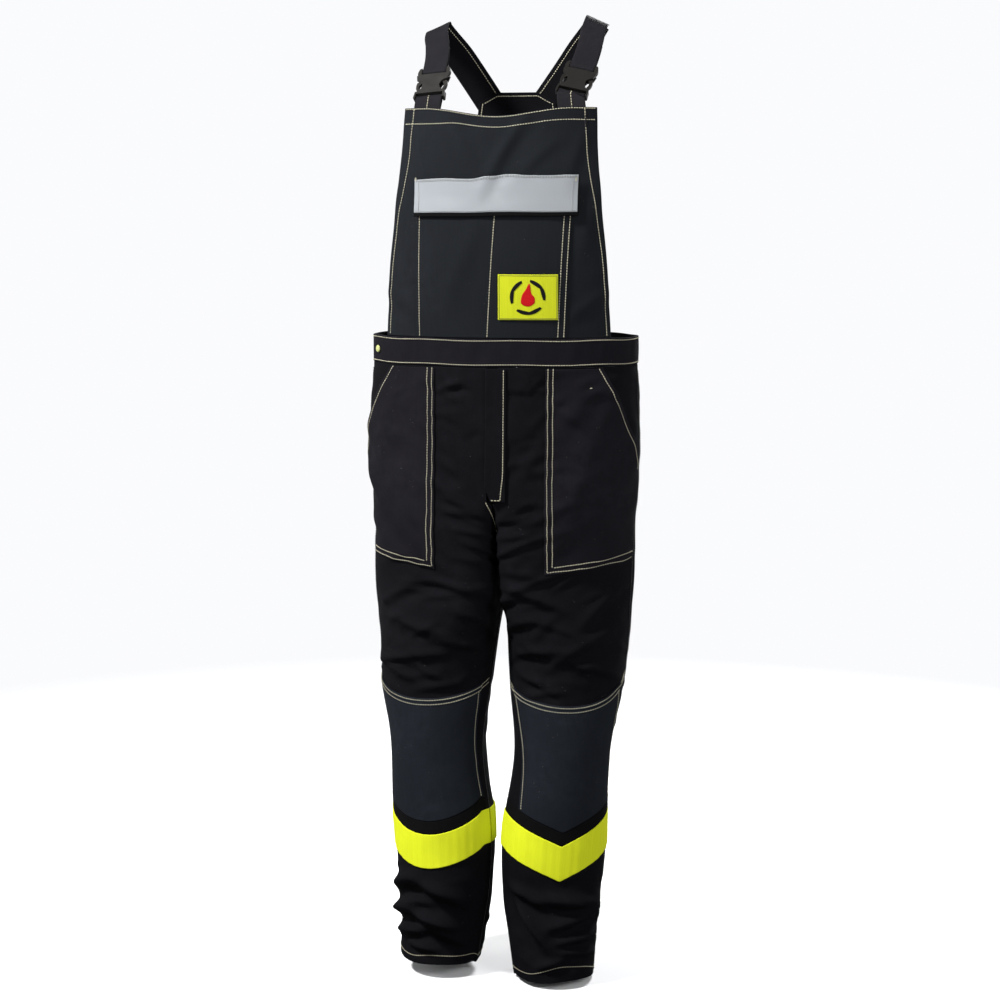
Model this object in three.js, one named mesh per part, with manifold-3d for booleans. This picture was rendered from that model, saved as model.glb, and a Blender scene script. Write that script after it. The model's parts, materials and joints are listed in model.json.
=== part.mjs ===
// Bib-and-brace work trousers: two legs, a waistband, a chest bib with a flap pocket, a back panel, and two
// shoulder straps that close on side-release buckles. Millimetres, +Z up, the front faces -Y, +X is the wearer's
// left. Every cut piece of cloth, every tape and every moulding is a mesh of its own.
import * as THREE from "three";
import { mergeVertices } from "three/addons/utils/BufferGeometryUtils.js";
import Module from "manifold-3d";

const wasm = await Module();
wasm.setup();

// ---- Driving sizes -------------------------------------------------------------------------------------------

const cloth = 2.0; // a main panel's thickness, seam allowances included
const layer = 1.2; // a patch sewn on top of a panel
const ply = 1.0; // the air between a panel and the patch on it
const seam = 0.3; // the gap between two pieces that are sewn edge to edge

const waistHeight = 1008; // hem to the waistband's lower edge
const waistbandHeight = 45;
const waistHalfWidth = 217;
const waistHalfDepth = 115;
const crotchHeight = 660; // hem to the top of the inseam
const kneeHeight = 370; // hem to the narrowest place of the knee
const kneeHalfWidth = 79;
const hemHalfWidth = 66;
const hemDepth = 26; // the turned-up hem
const legGap = 1.5; // each inner leg wall's distance from the middle plane, at the crotch
const toeOut = THREE.MathUtils.degToRad(17);

const bibHeight = 361; // waistband to the bib's top edge at its corners
const bibTopHalfWidth = 155;
const bibFootHalfWidth = 182;
const bibSag = 14; // the top edge's dip between the straps
const chestHalfWidth = 178; // the torso's own half width at the bib's top edge
const chestHalfDepth = 104;
const chestLean = 22; // how far back the chest's middle lies from the waist's

const backPanelHeight = 393;
const backPanelFootHalfWidth = 146;
const backPanelTopHalfWidth = 62;

const pocketHalfWidth = 124; // chest pocket
const pocketHeight = 229;
const flapHalfWidth = 129;
const flapHeight = 58;
const flapTopAboveWaistband = 253;
const touchTapeHeight = 18; // the hook and loop tape under the flap
const badgeWidth = 93;
const badgeHeight = 71;

const hipPocketInner = 90; // the patch pocket's inner edge, from the middle plane
const hipPocketDepth = 328; // waistband to the pocket's lower edge
const hipPocketMouthTop = 0.33; // where the slanted mouth starts, as a share of the way round the leg
const hipPocketMouthDrop = 140;

const flyOverlap = 11; // the placket's free edge, past the middle on the wearer's right
const flyStitch = 22; // the placket's sewn edge, on the wearer's left
const flyLength = 214;
const flyGap = 8; // half the slit between the two fronts, which the zip lies behind

const bandHeight = 58; // yellow band
const bandFoot = 176; // hem to the band's lower edge at its point
const stripHeight = 22; // black strip above it
const chevron = 32; // how far the point hangs below the sides
const kneePatchTop = 463; // hem to the lowest place of the patch's top edge
const kneePatchDip = 32;

const webbing = 40; // strap width
const webbingThickness = 1.6;
const strapInset = 121; // strap centre at the bib's top edge, from the middle plane
const shoulderInset = 131;
const shoulderHeight = 140; // the shoulder fold above the bib's top edge
const shoulderBack = 84; // the fold behind the waist's middle
const shoulderSlope = THREE.MathUtils.degToRad(25);
const shoulderDrift = 8; // how far the worn straps have slid to the wearer's left, at the shoulder
const clothStrap = 48; // width of the sewn cloth strap behind the shoulder
const strapLean = THREE.MathUtils.degToRad(41); // the buckle's lean from upright
const strapSplay = THREE.MathUtils.degToRad(7);
const buckleDrift = 0.1; // both buckles lean this much more to the wearer's left, as a slope
const barRise = { left: 18, right: 13 }; // each buckle's foot above the bib's top edge
const strapYaw = { left: 0.3, right: 0.5 }; // how far each buckle faces sideways, as a share of the bib's own turn there

// ---- Small tools ---------------------------------------------------------------------------------------------

const mixOf = THREE.MathUtils.lerp;
const vec = (x, y, z) => new THREE.Vector3(x, y, z);

// A smooth curve through [place, value] pairs, in rising places.
function through(...pairs) {
  const slope = (i) => {
    const a = pairs[Math.max(i - 1, 0)];
    const b = pairs[Math.min(i + 1, pairs.length - 1)];
    return (b[1] - a[1]) / (b[0] - a[0]);
  };
  return (at) => {
    const p = THREE.MathUtils.clamp(at, pairs[0][0], pairs.at(-1)[0]);
    let i = 0;
    while (i < pairs.length - 2 && p > pairs[i + 1][0]) i += 1;
    const [a, b] = [pairs[i], pairs[i + 1]];
    const span = b[0] - a[0];
    const t = (p - a[0]) / span;
    const [t2, t3] = [t * t, t * t * t];
    return (
      (2 * t3 - 3 * t2 + 1) * a[1] +
      (t3 - 2 * t2 + t) * span * slope(i) +
      (3 * t2 - 2 * t3) * b[1] +
      (t3 - t2) * span * slope(i + 1)
    );
  };
}

// A closed geometry from triangles, turned so that its faces point out.
function closed(points, triangles) {
  let volume = 0;
  for (const [a, b, c] of triangles) volume += points[a].dot(points[b].clone().cross(points[c]));
  const flat = [];
  for (const [a, b, c] of triangles) for (const k of volume < 0 ? [a, c, b] : [a, b, c]) flat.push(...points[k]);
  return new THREE.BufferGeometry().setAttribute("position", new THREE.Float32BufferAttribute(flat, 3));
}

// A sheet with thickness: outer(u, v) and inner(u, v) give its two faces for u and v from 0 to 1. uStops can list
// the places in u instead of even steps. A ring closes on itself in u.
function sheet(outer, inner, uSteps, vSteps, { ring = false, vStops = null } = {}) {
  const columns = ring ? uSteps : uSteps + 1;
  const rows = vStops ? vStops.length : vSteps + 1;
  const points = [];
  for (const face of [outer, inner])
    for (let i = 0; i < columns; i += 1)
      for (let j = 0; j < rows; j += 1) points.push(face(i / uSteps, vStops ? vStops[j] : j / vSteps));
  const at = (side, i, j) => (side * columns + (i % columns)) * rows + j;
  const triangles = [];
  const quad = (a, b, c, d) => triangles.push([a, b, c], [a, c, d]);
  for (let i = 0; i < uSteps; i += 1)
    for (let j = 0; j < rows - 1; j += 1) {
      quad(at(0, i, j), at(0, i + 1, j), at(0, i + 1, j + 1), at(0, i, j + 1));
      quad(at(1, i, j), at(1, i, j + 1), at(1, i + 1, j + 1), at(1, i + 1, j));
    }
  for (let i = 0; i < uSteps; i += 1) {
    quad(at(0, i, 0), at(1, i, 0), at(1, i + 1, 0), at(0, i + 1, 0));
    quad(at(0, i, rows - 1), at(0, i + 1, rows - 1), at(1, i + 1, rows - 1), at(1, i, rows - 1));
  }
  if (!ring)
    for (let j = 0; j < rows - 1; j += 1) {
      quad(at(0, 0, j), at(0, 0, j + 1), at(1, 0, j + 1), at(1, 0, j));
      quad(at(0, uSteps, j), at(1, uSteps, j), at(1, uSteps, j + 1), at(0, uSteps, j + 1));
    }
  return closed(points, triangles);
}

// A flat strap along stations, each with its centre, the direction across it, and its width.
function strap(stations, thickness) {
  const edge = (u, v, side) => {
    const k = Math.round(v * (stations.length - 1));
    const here = stations[k];
    const before = stations[Math.max(k - 1, 0)].centre;
    const after = stations[Math.min(k + 1, stations.length - 1)].centre;
    const along = after.clone().sub(before).normalize();
    const normal = here.across.clone().cross(along).normalize();
    return here.centre
      .clone()
      .addScaledVector(here.across, (u - 0.5) * here.width)
      .addScaledVector(normal, (side * thickness) / 2);
  };
  return sheet(
    (u, v) => edge(u, v, 1),
    (u, v) => edge(u, v, -1),
    1,
    stations.length - 1,
  );
}

function toSolid(geometry) {
  const bare = geometry.index ? geometry.toNonIndexed() : geometry.clone();
  for (const name of ["normal", "uv"]) bare.deleteAttribute(name);
  const merged = mergeVertices(bare, 1e-4);
  return new wasm.Manifold(
    new wasm.Mesh({
      numProp: 3,
      vertProperties: merged.attributes.position.array,
      triVerts: new Uint32Array(merged.index.array),
    }),
  );
}

function toGeometry(solid) {
  const mesh = solid.getMesh();
  return new THREE.BufferGeometry()
    .setAttribute("position", new THREE.BufferAttribute(new Float32Array(mesh.vertProperties), 3))
    .setIndex(new THREE.BufferAttribute(new Uint32Array(mesh.triVerts), 1))
    .toNonIndexed();
}

// A box between two corners, as a solid.
function block(low, high) {
  const g = new THREE.BoxGeometry(high[0] - low[0], high[1] - low[1], high[2] - low[2]);
  g.translate((low[0] + high[0]) / 2, (low[1] + high[1]) / 2, (low[2] + high[2]) / 2);
  return toSolid(g);
}

// A plate whose outline lies in X and Z, from one Y to another.
function plate(outline, yLow, yHigh) {
  const g = new THREE.ExtrudeGeometry(outline, { depth: yHigh - yLow, bevelEnabled: false, curveSegments: 5 });
  g.rotateX(Math.PI / 2); // the shape's Y becomes Z, and its depth runs towards -Y
  g.translate(0, yHigh, 0);
  return toSolid(g);
}

function finish(colour, roughness, metalness = 0) {
  return new THREE.MeshStandardMaterial({ color: colour, roughness, metalness, side: THREE.DoubleSide });
}

const materials = {
  blackCloth: finish(0x1c1c20, 0.92),
  bibCloth: finish(0x22272b, 0.9),
  kneeCloth: finish(0x20262c, 0.85),
  yellowCloth: finish(0xd3db30, 0.8),
  greyTape: finish(0xb2b8bc, 0.55),
  webbing: finish(0x2b2a30, 0.75),
  plastic: finish(0x33322f, 0.45),
  badge: finish(0xe8ee3a, 0.75),
  zipTape: finish(0x151518, 0.9),
  metal: finish(0xa8965a, 0.35, 1),
};

const garment = new THREE.Group();

function add(name, geometry, material, parent = garment) {
  const mesh = new THREE.Mesh(geometry, material);
  mesh.name = name;
  parent.add(mesh);
  return mesh;
}

// ---- The hips and legs: one surface for each leg -------------------------------------------------------------

const notchTop = waistHeight - flyLength - 4; // below this the two legs start to part at the front and back
const share = (z) => z / crotchHeight;
const hipWidth = through(
  [crotchHeight, waistHalfWidth + 1],
  [mixOf(crotchHeight, waistHeight, 0.2), waistHalfWidth],
  [mixOf(crotchHeight, waistHeight, 0.62), waistHalfWidth + 5],
  [waistHeight, waistHalfWidth],
);
const frontDepth = through(
  [crotchHeight, waistHalfDepth + 3],
  [notchTop, waistHalfDepth + 9],
  [mixOf(notchTop, waistHeight, 0.5), waistHalfDepth + 4.5],
  [waistHeight, waistHalfDepth],
);
const backDepth = through(
  [crotchHeight, waistHalfDepth - 7],
  [mixOf(crotchHeight, waistHeight, 0.3), waistHalfDepth + 8],
  [mixOf(crotchHeight, waistHeight, 0.65), waistHalfDepth + 14],
  [waistHeight, waistHalfDepth],
);
const kneeShare = share(kneeHeight);
// Heights on the leg, as shares of the crotch height: the shin's from the hem to the knee, the thigh's above it.
const shin = (t) => kneeShare * t;
const thigh = (t) => mixOf(kneeShare, 1, t);
const legX = through([0, 92], [shin(0.34), 87], [shin(0.68), 92], [kneeShare, 102], [thigh(0.385), 108], [1, 109]);
const legY = through([0, -57], [shin(0.34), -50], [shin(0.68), -44], [kneeShare, -36], [thigh(0.385), -22], [1, -8]);
const legHalfWidth = through(
  [0, hemHalfWidth],
  [shin(0.18), hemHalfWidth + 6],
  [shin(0.357), hemHalfWidth + 14],
  [shin(0.642), kneeHalfWidth + 7],
  [kneeShare, kneeHalfWidth],
  [thigh(0.385), kneeHalfWidth + 15],
  [1, waistHalfWidth / 2 - 1],
);
const legHalfDepth = through(
  [0, 72],
  [shin(0.34), 74],
  [shin(0.68), 74],
  [kneeShare, 75],
  [thigh(0.385), 84],
  [1, 112],
);
const legTurn = through([0, toeOut], [kneeShare, toeOut], [thigh(0.545), 0.6 * toeOut], [1, 0]);
const stance = {
  left: { side: 1, lift: 0, forward: 12, out: 2 },
  right: { side: -1, lift: 12, forward: 0, out: 6 },
};
const sectionPoints = 96;

// The half of the hips' outline on one side, from the front middle round to the back middle. Near the crotch it
// turns inwards at both ends, and at the crotch the ends meet.
function halfOutline(z) {
  const [a, bf, bb] = [hipWidth(z), frontDepth(z), backDepth(z)];
  const open = THREE.MathUtils.clamp((z - crotchHeight) / (notchTop - crotchHeight), 0, 1);
  const round = 46 * (1 - open) ** 0.6;
  const inner = mixOf(legGap, seam / 2, open);
  const x1 = inner + round;
  const rim = (b) => b * Math.sqrt(1 - (x1 / a) ** 2);
  const points = [];
  const end = (b, sign) => {
    const reach = (rim(b) - round) * (1 - (1 - open) ** 1.4);
    const list = [];
    for (let k = 0; k < 12; k += 1) list.push([inner, sign * mixOf(reach, rim(b) - round, k / 12)]);
    for (let k = 0; k <= 8; k += 1) {
      const t = (k / 8) * (Math.PI / 2);
      list.push([x1 - round * Math.cos(t), sign * (rim(b) - round + round * Math.sin(t))]);
    }
    return list;
  };
  points.push(...end(bf, -1));
  const start = Math.asin(x1 / a);
  for (let k = 1; k < 60; k += 1) {
    const t = mixOf(start, Math.PI - start, k / 60);
    const b = t < Math.PI / 2 ? bf : bb;
    points.push([a * Math.sin(t), -b * Math.cos(t)]);
  }
  points.push(...end(bb, 1).reverse());
  return points;
}

function resample(points, count) {
  const along = [0];
  for (let k = 1; k < points.length; k += 1)
    along.push(along[k - 1] + Math.hypot(points[k][0] - points[k - 1][0], points[k][1] - points[k - 1][1]));
  const made = [];
  let k = 1;
  for (let n = 0; n <= count; n += 1) {
    const want = (along.at(-1) * n) / count;
    while (k < points.length - 1 && along[k] < want) k += 1;
    const t = (want - along[k - 1]) / Math.max(along[k] - along[k - 1], 1e-9);
    made.push([mixOf(points[k - 1][0], points[k][0], t), mixOf(points[k - 1][1], points[k][1], t)]);
  }
  return made;
}

// Below the crotch the outline melts into a turned oval.
function section(z) {
  const top = resample(halfOutline(Math.max(z, crotchHeight)), sectionPoints);
  if (z >= crotchHeight) return top;
  const q = share(z);
  const melt = THREE.MathUtils.smoothstep(1 - q, 0, 0.24);
  const [cos, sin] = [Math.cos(legTurn(q)), Math.sin(legTurn(q))];
  const shrink = legHalfWidth(q) / legHalfWidth(1);
  return top.map(([x, y], n) => {
    const t = (2 * Math.PI * n) / sectionPoints;
    const [u, v] = [-legHalfWidth(q) * Math.cos(t), -legHalfDepth(q) * Math.sin(t)];
    const [ox, oy] = [legX(q) + u * cos - v * sin, legY(q) + u * sin + v * cos];
    const [dx, dy] = [legX(q) + (x - legX(1)) * shrink, y + legY(q) - legY(1)];
    return [mixOf(dx, ox, melt), mixOf(dy, oy, melt)];
  });
}

const sections = new Map();

function legSpot(s, z) {
  const key = Math.round(z * 8);
  if (!sections.has(key)) sections.set(key, section(key / 8));
  const made = sections.get(key);
  const at = THREE.MathUtils.clamp(s, 0, 1) * sectionPoints;
  const k = Math.min(Math.floor(at), sectionPoints - 1);
  return [mixOf(made[k][0], made[k + 1][0], at - k), mixOf(made[k][1], made[k + 1][1], at - k)];
}

// A point on a leg: s runs from the inseam or the front middle (0) past the side seam (0.5) to the back (1), z is
// the height, and off is the distance outside the cloth's outer face.
function legPoint(which, s, z, off = 0) {
  const { side, lift, forward, out } = stance[which];
  const fade = Math.max(0, 1 - share(z)) ** 1.3;
  const place = (ss, zz) => {
    const [x, y] = legSpot(ss, zz);
    return vec(x, y, zz);
  };
  const ds = 0.012;
  const round = place(Math.min(s + ds, 1), z).sub(place(Math.max(s - ds, 0), z));
  const up = place(s, Math.min(z + 10, waistHeight)).sub(place(s, Math.max(z - 10, 0)));
  const normal = round.cross(up).normalize();
  const p = place(s, z).addScaledVector(normal, off);
  return vec(side * (p.x + out * fade), p.y - forward * fade, p.z + lift * fade);
}

// The share s at which the front of the hips is x away from the middle plane.
function shareAt(x, z) {
  let [low, high] = [0, 0.5];
  for (let k = 0; k < 24; k += 1) {
    const middle = (low + high) / 2;
    if (legSpot(middle, z)[0] < x) low = middle;
    else high = middle;
  }
  return (low + high) / 2;
}

// A piece of a leg between two edges in s, each a function of z, and between two heights, each a function of s.
function legPiece(which, { from, to, foot, top, outer, inner, across, up, heights = null }) {
  const spot = (u, v, off) => {
    const guess = mixOf(0.5 * (from(0.5) + to(0.5)), 0, 0);
    let z = mixOf(foot(guess), top(guess), v);
    let s = mixOf(from(z), to(z), u);
    for (let k = 0; k < 3; k += 1) {
      z = mixOf(foot(s), top(s), v);
      s = mixOf(from(z), to(z), u);
    }
    return legPoint(which, s, z, off);
  };
  return sheet(
    (u, v) => spot(u, v, outer),
    (u, v) => spot(u, v, inner),
    across,
    up,
    { vStops: heights && heights.map((z) => (z - foot(0)) / (top(0) - foot(0))) },
  );
}

const constant = (value) => () => value;
const panelTop = waistHeight - seam;
const roundTrip = 500; // about the length once round a leg, to turn a gap into a share
const sideGap = seam / 2 / roundTrip;
const bandTop = bandFoot + bandHeight;
const bandPoint = (s) => Math.abs(s - 0.25) / 0.25; // 0 at the front's middle and 1 at the seams
const onChevron = (foot) => (s) => foot + chevron * Math.min(1, bandPoint(s)) ** 1.15;
const patchOut = ply + layer;

for (const which of ["left", "right"]) {
  const levels = [0, 0.16, 0.34, 0.51, 0.68, 0.84, 1]
    .map((t) => t * kneeHeight)
    .concat([0.1, 0.2, 0.3, 0.4, 0.5, 0.62, 0.79, 0.93].map((t) => mixOf(kneeHeight, crotchHeight, t)))
    .concat([0, 0.12, 0.28, 0.45, 0.62, 0.8, 0.97].map((t) => mixOf(crotchHeight, notchTop, t)));
  const upper = [0.02, 0.25, 0.5, 0.75, 1].map((t) => mixOf(notchTop, panelTop, t));
  const frontEdge = (z) => (z > notchTop ? shareAt(flyGap, z) : sideGap);
  add(
    `front_leg_${which}`,
    legPiece(which, {
      from: frontEdge,
      to: constant(0.5 - sideGap),
      foot: constant(0),
      top: constant(panelTop),
      outer: 0,
      inner: -cloth,
      across: 11,
      up: 0,
      heights: [...levels, ...upper],
    }),
    materials.blackCloth,
  );
  add(
    `back_leg_${which}`,
    legPiece(which, {
      from: constant(0.5 + sideGap),
      to: constant(1 - sideGap),
      foot: constant(0),
      top: constant(panelTop),
      outer: 0,
      inner: -cloth,
      across: 11,
      up: 0,
      heights: [...levels, ...upper],
    }),
    materials.blackCloth,
  );
  const patch = (name, material, shape) =>
    add(`${name}_${which}`, legPiece(which, { outer: patchOut, inner: ply, ...shape }), material);
  patch("yellow_band_front", materials.yellowCloth, {
    from: constant(0.012),
    to: constant(0.488),
    foot: onChevron(bandFoot),
    top: onChevron(bandTop - seam),
    across: 12,
    up: 3,
  });
  patch("yellow_band_back", materials.yellowCloth, {
    from: constant(0.512),
    to: constant(0.988),
    foot: constant(bandFoot + chevron),
    top: constant(bandTop + chevron - seam),
    across: 10,
    up: 3,
  });
  patch("black_strip", materials.blackCloth, {
    from: constant(0.03),
    to: constant(0.47),
    foot: onChevron(bandTop + seam),
    top: onChevron(bandTop + stripHeight - seam),
    across: 12,
    up: 1,
  });
  patch("knee_patch", materials.kneeCloth, {
    outer: patchOut + 0.5,
    inner: ply + 0.5,
    from: constant(0.065),
    to: constant(0.47),
    foot: onChevron(bandTop + stripHeight + seam),
    top: (s) => kneePatchTop + kneePatchDip * bandPoint(s) ** 2,
    across: 10,
    up: 10,
  });
  add(
    `hem_facing_${which}`,
    sheet(
      (u, v) => legPoint(which, u, mixOf(0.8, hemDepth, v), -cloth - ply),
      (u, v) => legPoint(which, u, mixOf(0.8, hemDepth, v), -cloth - ply - layer),
      20,
      1,
      { ring: true },
    ),
    materials.blackCloth,
  );
  const pocketFoot = waistHeight - hipPocketDepth;
  const mouth = (z) => {
    const down = THREE.MathUtils.clamp((panelTop - z) / hipPocketMouthDrop, 0, 1);
    return mixOf(hipPocketMouthTop, 0.47, down ** 0.7);
  };
  patch("hip_pocket", materials.blackCloth, {
    from: (z) => shareAt(hipPocketInner, z),
    to: mouth,
    foot: (s) => pocketFoot + 16 * Math.max(0, (s - 0.2) / 0.3),
    top: constant(panelTop - 3),
    across: 7,
    up: 9,
  });
  patch("back_pocket", materials.blackCloth, {
    from: constant(0.6),
    to: constant(0.86),
    foot: (s) => waistHeight - 225 - 14 * (1 - Math.abs(s - 0.73) / 0.13),
    top: constant(waistHeight - 62),
    across: 6,
    up: 4,
  });
}

// ---- Waistband -----------------------------------------------------------------------------------------------

const waistbandThickness = 3.2;
const buttonAngle = THREE.MathUtils.degToRad(66); // from the front middle, on the wearer's right

function waistPoint(angle, z, off) {
  const y = -Math.cos(angle) * (waistHalfDepth + off);
  return vec(Math.sin(angle) * (waistHalfWidth + off), y, z);
}

const waistbandTop = waistHeight + waistbandHeight;
for (const [name, middle] of [["front_waistband", 0], ["back_waistband", Math.PI]]) {
  const half = Math.PI / 2 - seam / 2 / waistHalfDepth;
  const spot = (u, v, off) => waistPoint(middle + mixOf(-half, half, u), mixOf(waistHeight, waistbandTop, v), off);
  add(
    name,
    sheet(
      (u, v) => spot(u, v, waistbandThickness - cloth),
      (u, v) => spot(u, v, -cloth),
      26,
      2,
    ),
    materials.blackCloth,
  );
}
{
  const seat = waistPoint(-buttonAngle, (waistHeight + waistbandTop) / 2, waistbandThickness - cloth + seam);
  const profile = [[0, 0], [5.6, 0], [6, 0.8], [5, 2.2], [2.5, 2.8], [0, 2.9]].map(([r, h]) => new THREE.Vector2(r, h));
  const button = add("waist_button", new THREE.LatheGeometry(profile, 16), materials.metal);
  const out = vec(-Math.sin(buttonAngle) / waistHalfWidth, -Math.cos(buttonAngle) / waistHalfDepth, 0).normalize();
  button.quaternion.setFromUnitVectors(vec(0, 1, 0), out);
  button.position.copy(seat).addScaledVector(out, 0.6);
}

// ---- Fly: placket, shield and zip ----------------------------------------------------------------------------

const flyFoot = waistHeight - flyLength;
function flyPoint(x, z, off) {
  const at = frontDepth(z) * Math.sqrt(1 - (x / hipWidth(z)) ** 2);
  return vec(x, -at - off, z);
}
const flyFlank = (v) => (v > 0.12 ? -flyOverlap : mixOf(-2, -flyOverlap, v / 0.12));
add(
  "fly_placket",
  sheet(
    (u, v) => flyPoint(mixOf(flyFlank(v), flyStitch, u), mixOf(flyFoot, panelTop - 2, v), patchOut),
    (u, v) => flyPoint(mixOf(flyFlank(v), flyStitch, u), mixOf(flyFoot, panelTop - 2, v), ply),
    4,
    8,
  ),
  materials.blackCloth,
);

// The zip is straight, so it has a frame of its own: z runs up it, and y = 0 is the plane of its tapes.
const zipDepth = 6.5; // behind the fronts' outer face
const zipTopZ = waistHeight - 8;
const zipFootZ = flyFoot + 6;
const zip = new THREE.Group();
zip.position.set(0, -frontDepth(zipFootZ) + zipDepth, zipFootZ);
const zipRise = frontDepth(zipFootZ) - frontDepth(zipTopZ);
zip.rotation.x = -Math.atan2(zipRise, zipTopZ - zipFootZ);
garment.add(zip);
const zipLength = Math.hypot(zipRise, zipTopZ - zipFootZ);
const chain = { halfWidth: 2.6, halfThickness: 1.1 };
const slider = { wall: 1.0, clearance: 0.25, length: 11 };
const sliderHalf = chain.halfWidth + slider.clearance + slider.wall;
const tapeInner = sliderHalf + 0.6;
for (const [name, side] of [["zip_tape_left", 1], ["zip_tape_right", -1]]) {
  const edges = [side * tapeInner, side * (tapeInner + 11)].sort((a, b) => a - b);
  add(name, toGeometry(block([edges[0], -0.4, 0], [edges[1], 0.4, zipLength])), materials.zipTape, zip);
}
const stopLength = 3;
add(
  "zip_chain",
  toGeometry(
    block(
      [-chain.halfWidth, -chain.halfThickness, stopLength + seam],
      [chain.halfWidth, chain.halfThickness, zipLength],
    ),
  ),
  materials.metal,
  zip,
);
add(
  "zip_bottom_stop",
  toGeometry(block([-sliderHalf, -2, 0], [sliderHalf, 2, stopLength])),
  materials.metal,
  zip,
);
{
  const inner = [chain.halfWidth + slider.clearance, chain.halfThickness + slider.clearance];
  const outer = [inner[0] + slider.wall, inner[1] + slider.wall];
  const foot = zipLength - slider.length - 2;
  const body = block([-outer[0], -outer[1], foot], [outer[0], outer[1], foot + slider.length]);
  const bore = block([-inner[0], -inner[1], foot - 1], [inner[0], inner[1], foot + slider.length + 1]);
  const bail = { half: 1.0, out: 2.6, foot: foot + 3.2, top: foot + 8.4 };
  const loop = block([-bail.half, -outer[1] - bail.out, bail.foot], [bail.half, -outer[1] + 0.2, bail.top]);
  const eye = block([-bail.half - 1, -outer[1] - bail.out + 0.7, bail.foot + 1.2], [bail.half + 1, -outer[1], bail.top - 1.2]);
  add("zip_slider", toGeometry(body.subtract(bore).add(loop.subtract(eye))), materials.metal, zip);
  // The pull's cross bar passes through the bail's eye, and its plate hangs below.
  const pull = new THREE.Group();
  pull.position.set(0, -outer[1] - (bail.out - 0.7) / 2, (bail.foot + bail.top) / 2);
  const hang = block([-2.6, -0.45, -24], [2.6, 0.45, 0.7]);
  const slot = block([-bail.half - 0.3, -1, -3.7], [bail.half + 0.3, 1, -0.7]);
  const thumb = block([-1.5, -1, -22], [1.5, 1, -15]);
  add("zip_pull", toGeometry(hang.subtract(slot).subtract(thumb)), materials.metal, pull);
  zip.add(pull);
}
add(
  "fly_shield",
  sheet(
    (u, v) => flyPoint(mixOf(-18, 18, u), mixOf(flyFoot - 2, panelTop - 4, v), -zipDepth - 4.5),
    (u, v) => flyPoint(mixOf(-18, 18, u), mixOf(flyFoot - 2, panelTop - 4, v), -zipDepth - 4.5 - layer),
    3,
    8,
  ),
  materials.blackCloth,
);

// ---- Bib and back panel --------------------------------------------------------------------------------------

const bibTopZ = waistbandTop + bibHeight;
const torsoWidth = through(
  [waistbandTop, waistHalfWidth],
  [mixOf(waistbandTop, bibTopZ, 0.4), waistHalfWidth - 6],
  [bibTopZ, chestHalfWidth],
  [bibTopZ + 40, chestHalfWidth - 6],
);
const torsoDepth = through(
  [waistbandTop, waistHalfDepth],
  [mixOf(waistbandTop, bibTopZ, 0.4), waistHalfDepth + 3],
  [bibTopZ, chestHalfDepth],
  [bibTopZ + 40, chestHalfDepth - 6],
);
const torsoMiddle = through([waistbandTop, 0], [mixOf(waistbandTop, bibTopZ, 0.4), 4], [bibTopZ, chestLean], [bibTopZ + 40, chestLean + 2]);

const torsoSquare = through([waistbandTop, 2], [bibTopZ, 2.5]); // how flat the chest and the back are

// A point on the chest (face -1) or on the back (face 1), x from the middle plane.
function torsoPoint(face, x, z, off = 0) {
  const place = (xx, zz) => {
    const n = torsoSquare(zz);
    const inside = Math.max(0.02, 1 - Math.abs(xx / torsoWidth(zz)) ** n);
    return vec(xx, torsoMiddle(zz) + face * torsoDepth(zz) * inside ** (1 / n), zz);
  };
  const normal = place(x + 1, z)
    .sub(place(x - 1, z))
    .cross(place(x, z + 3).sub(place(x, z - 3)))
    .normalize();
  return place(x, z).addScaledVector(normal, -face * off);
}

function torsoPiece(face, { left, right, foot, top, outer, inner, across, up }) {
  const spot = (u, v, off) => {
    let z = mixOf(foot(0), top(0), v);
    let x = mixOf(right(z), left(z), u);
    for (let k = 0; k < 3; k += 1) {
      z = mixOf(foot(x), top(x), v);
      x = mixOf(right(z), left(z), u);
    }
    return torsoPoint(face, x, z, off);
  };
  return sheet(
    (u, v) => spot(u, v, outer),
    (u, v) => spot(u, v, inner),
    across,
    up,
  );
}

const bibHalf = through(
  [waistbandTop, bibFootHalfWidth],
  [mixOf(waistbandTop, bibTopZ, 0.35), bibFootHalfWidth - 7],
  [mixOf(waistbandTop, bibTopZ, 0.75), bibTopHalfWidth + 5],
  [bibTopZ, bibTopHalfWidth],
);
// The top edge is highest at the straps and dips between them.
const bibTop = (x) => {
  const t = Math.min(1, Math.abs(x) / strapInset);
  return bibTopZ - bibSag * (1 - t * t * (3 - 2 * t));
};
const bibFacingHeight = 21;
const bothSides = (half) => ({ left: half, right: (z) => -half(z) });
add(
  "front_bib",
  torsoPiece(-1, { ...bothSides(bibHalf), foot: constant(waistbandTop + seam), top: bibTop, outer: 0, inner: -cloth, across: 16, up: 8 }),
  materials.bibCloth,
);
add(
  "bib_top_facing",
  torsoPiece(-1, {
    ...bothSides((z) => bibHalf(z) - 1),
    foot: (x) => bibTop(x) - bibFacingHeight,
    top: bibTop,
    outer: -cloth - 0.6,
    inner: -cloth - 1.6,
    across: 16,
    up: 1,
  }),
  materials.bibCloth,
);

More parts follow.
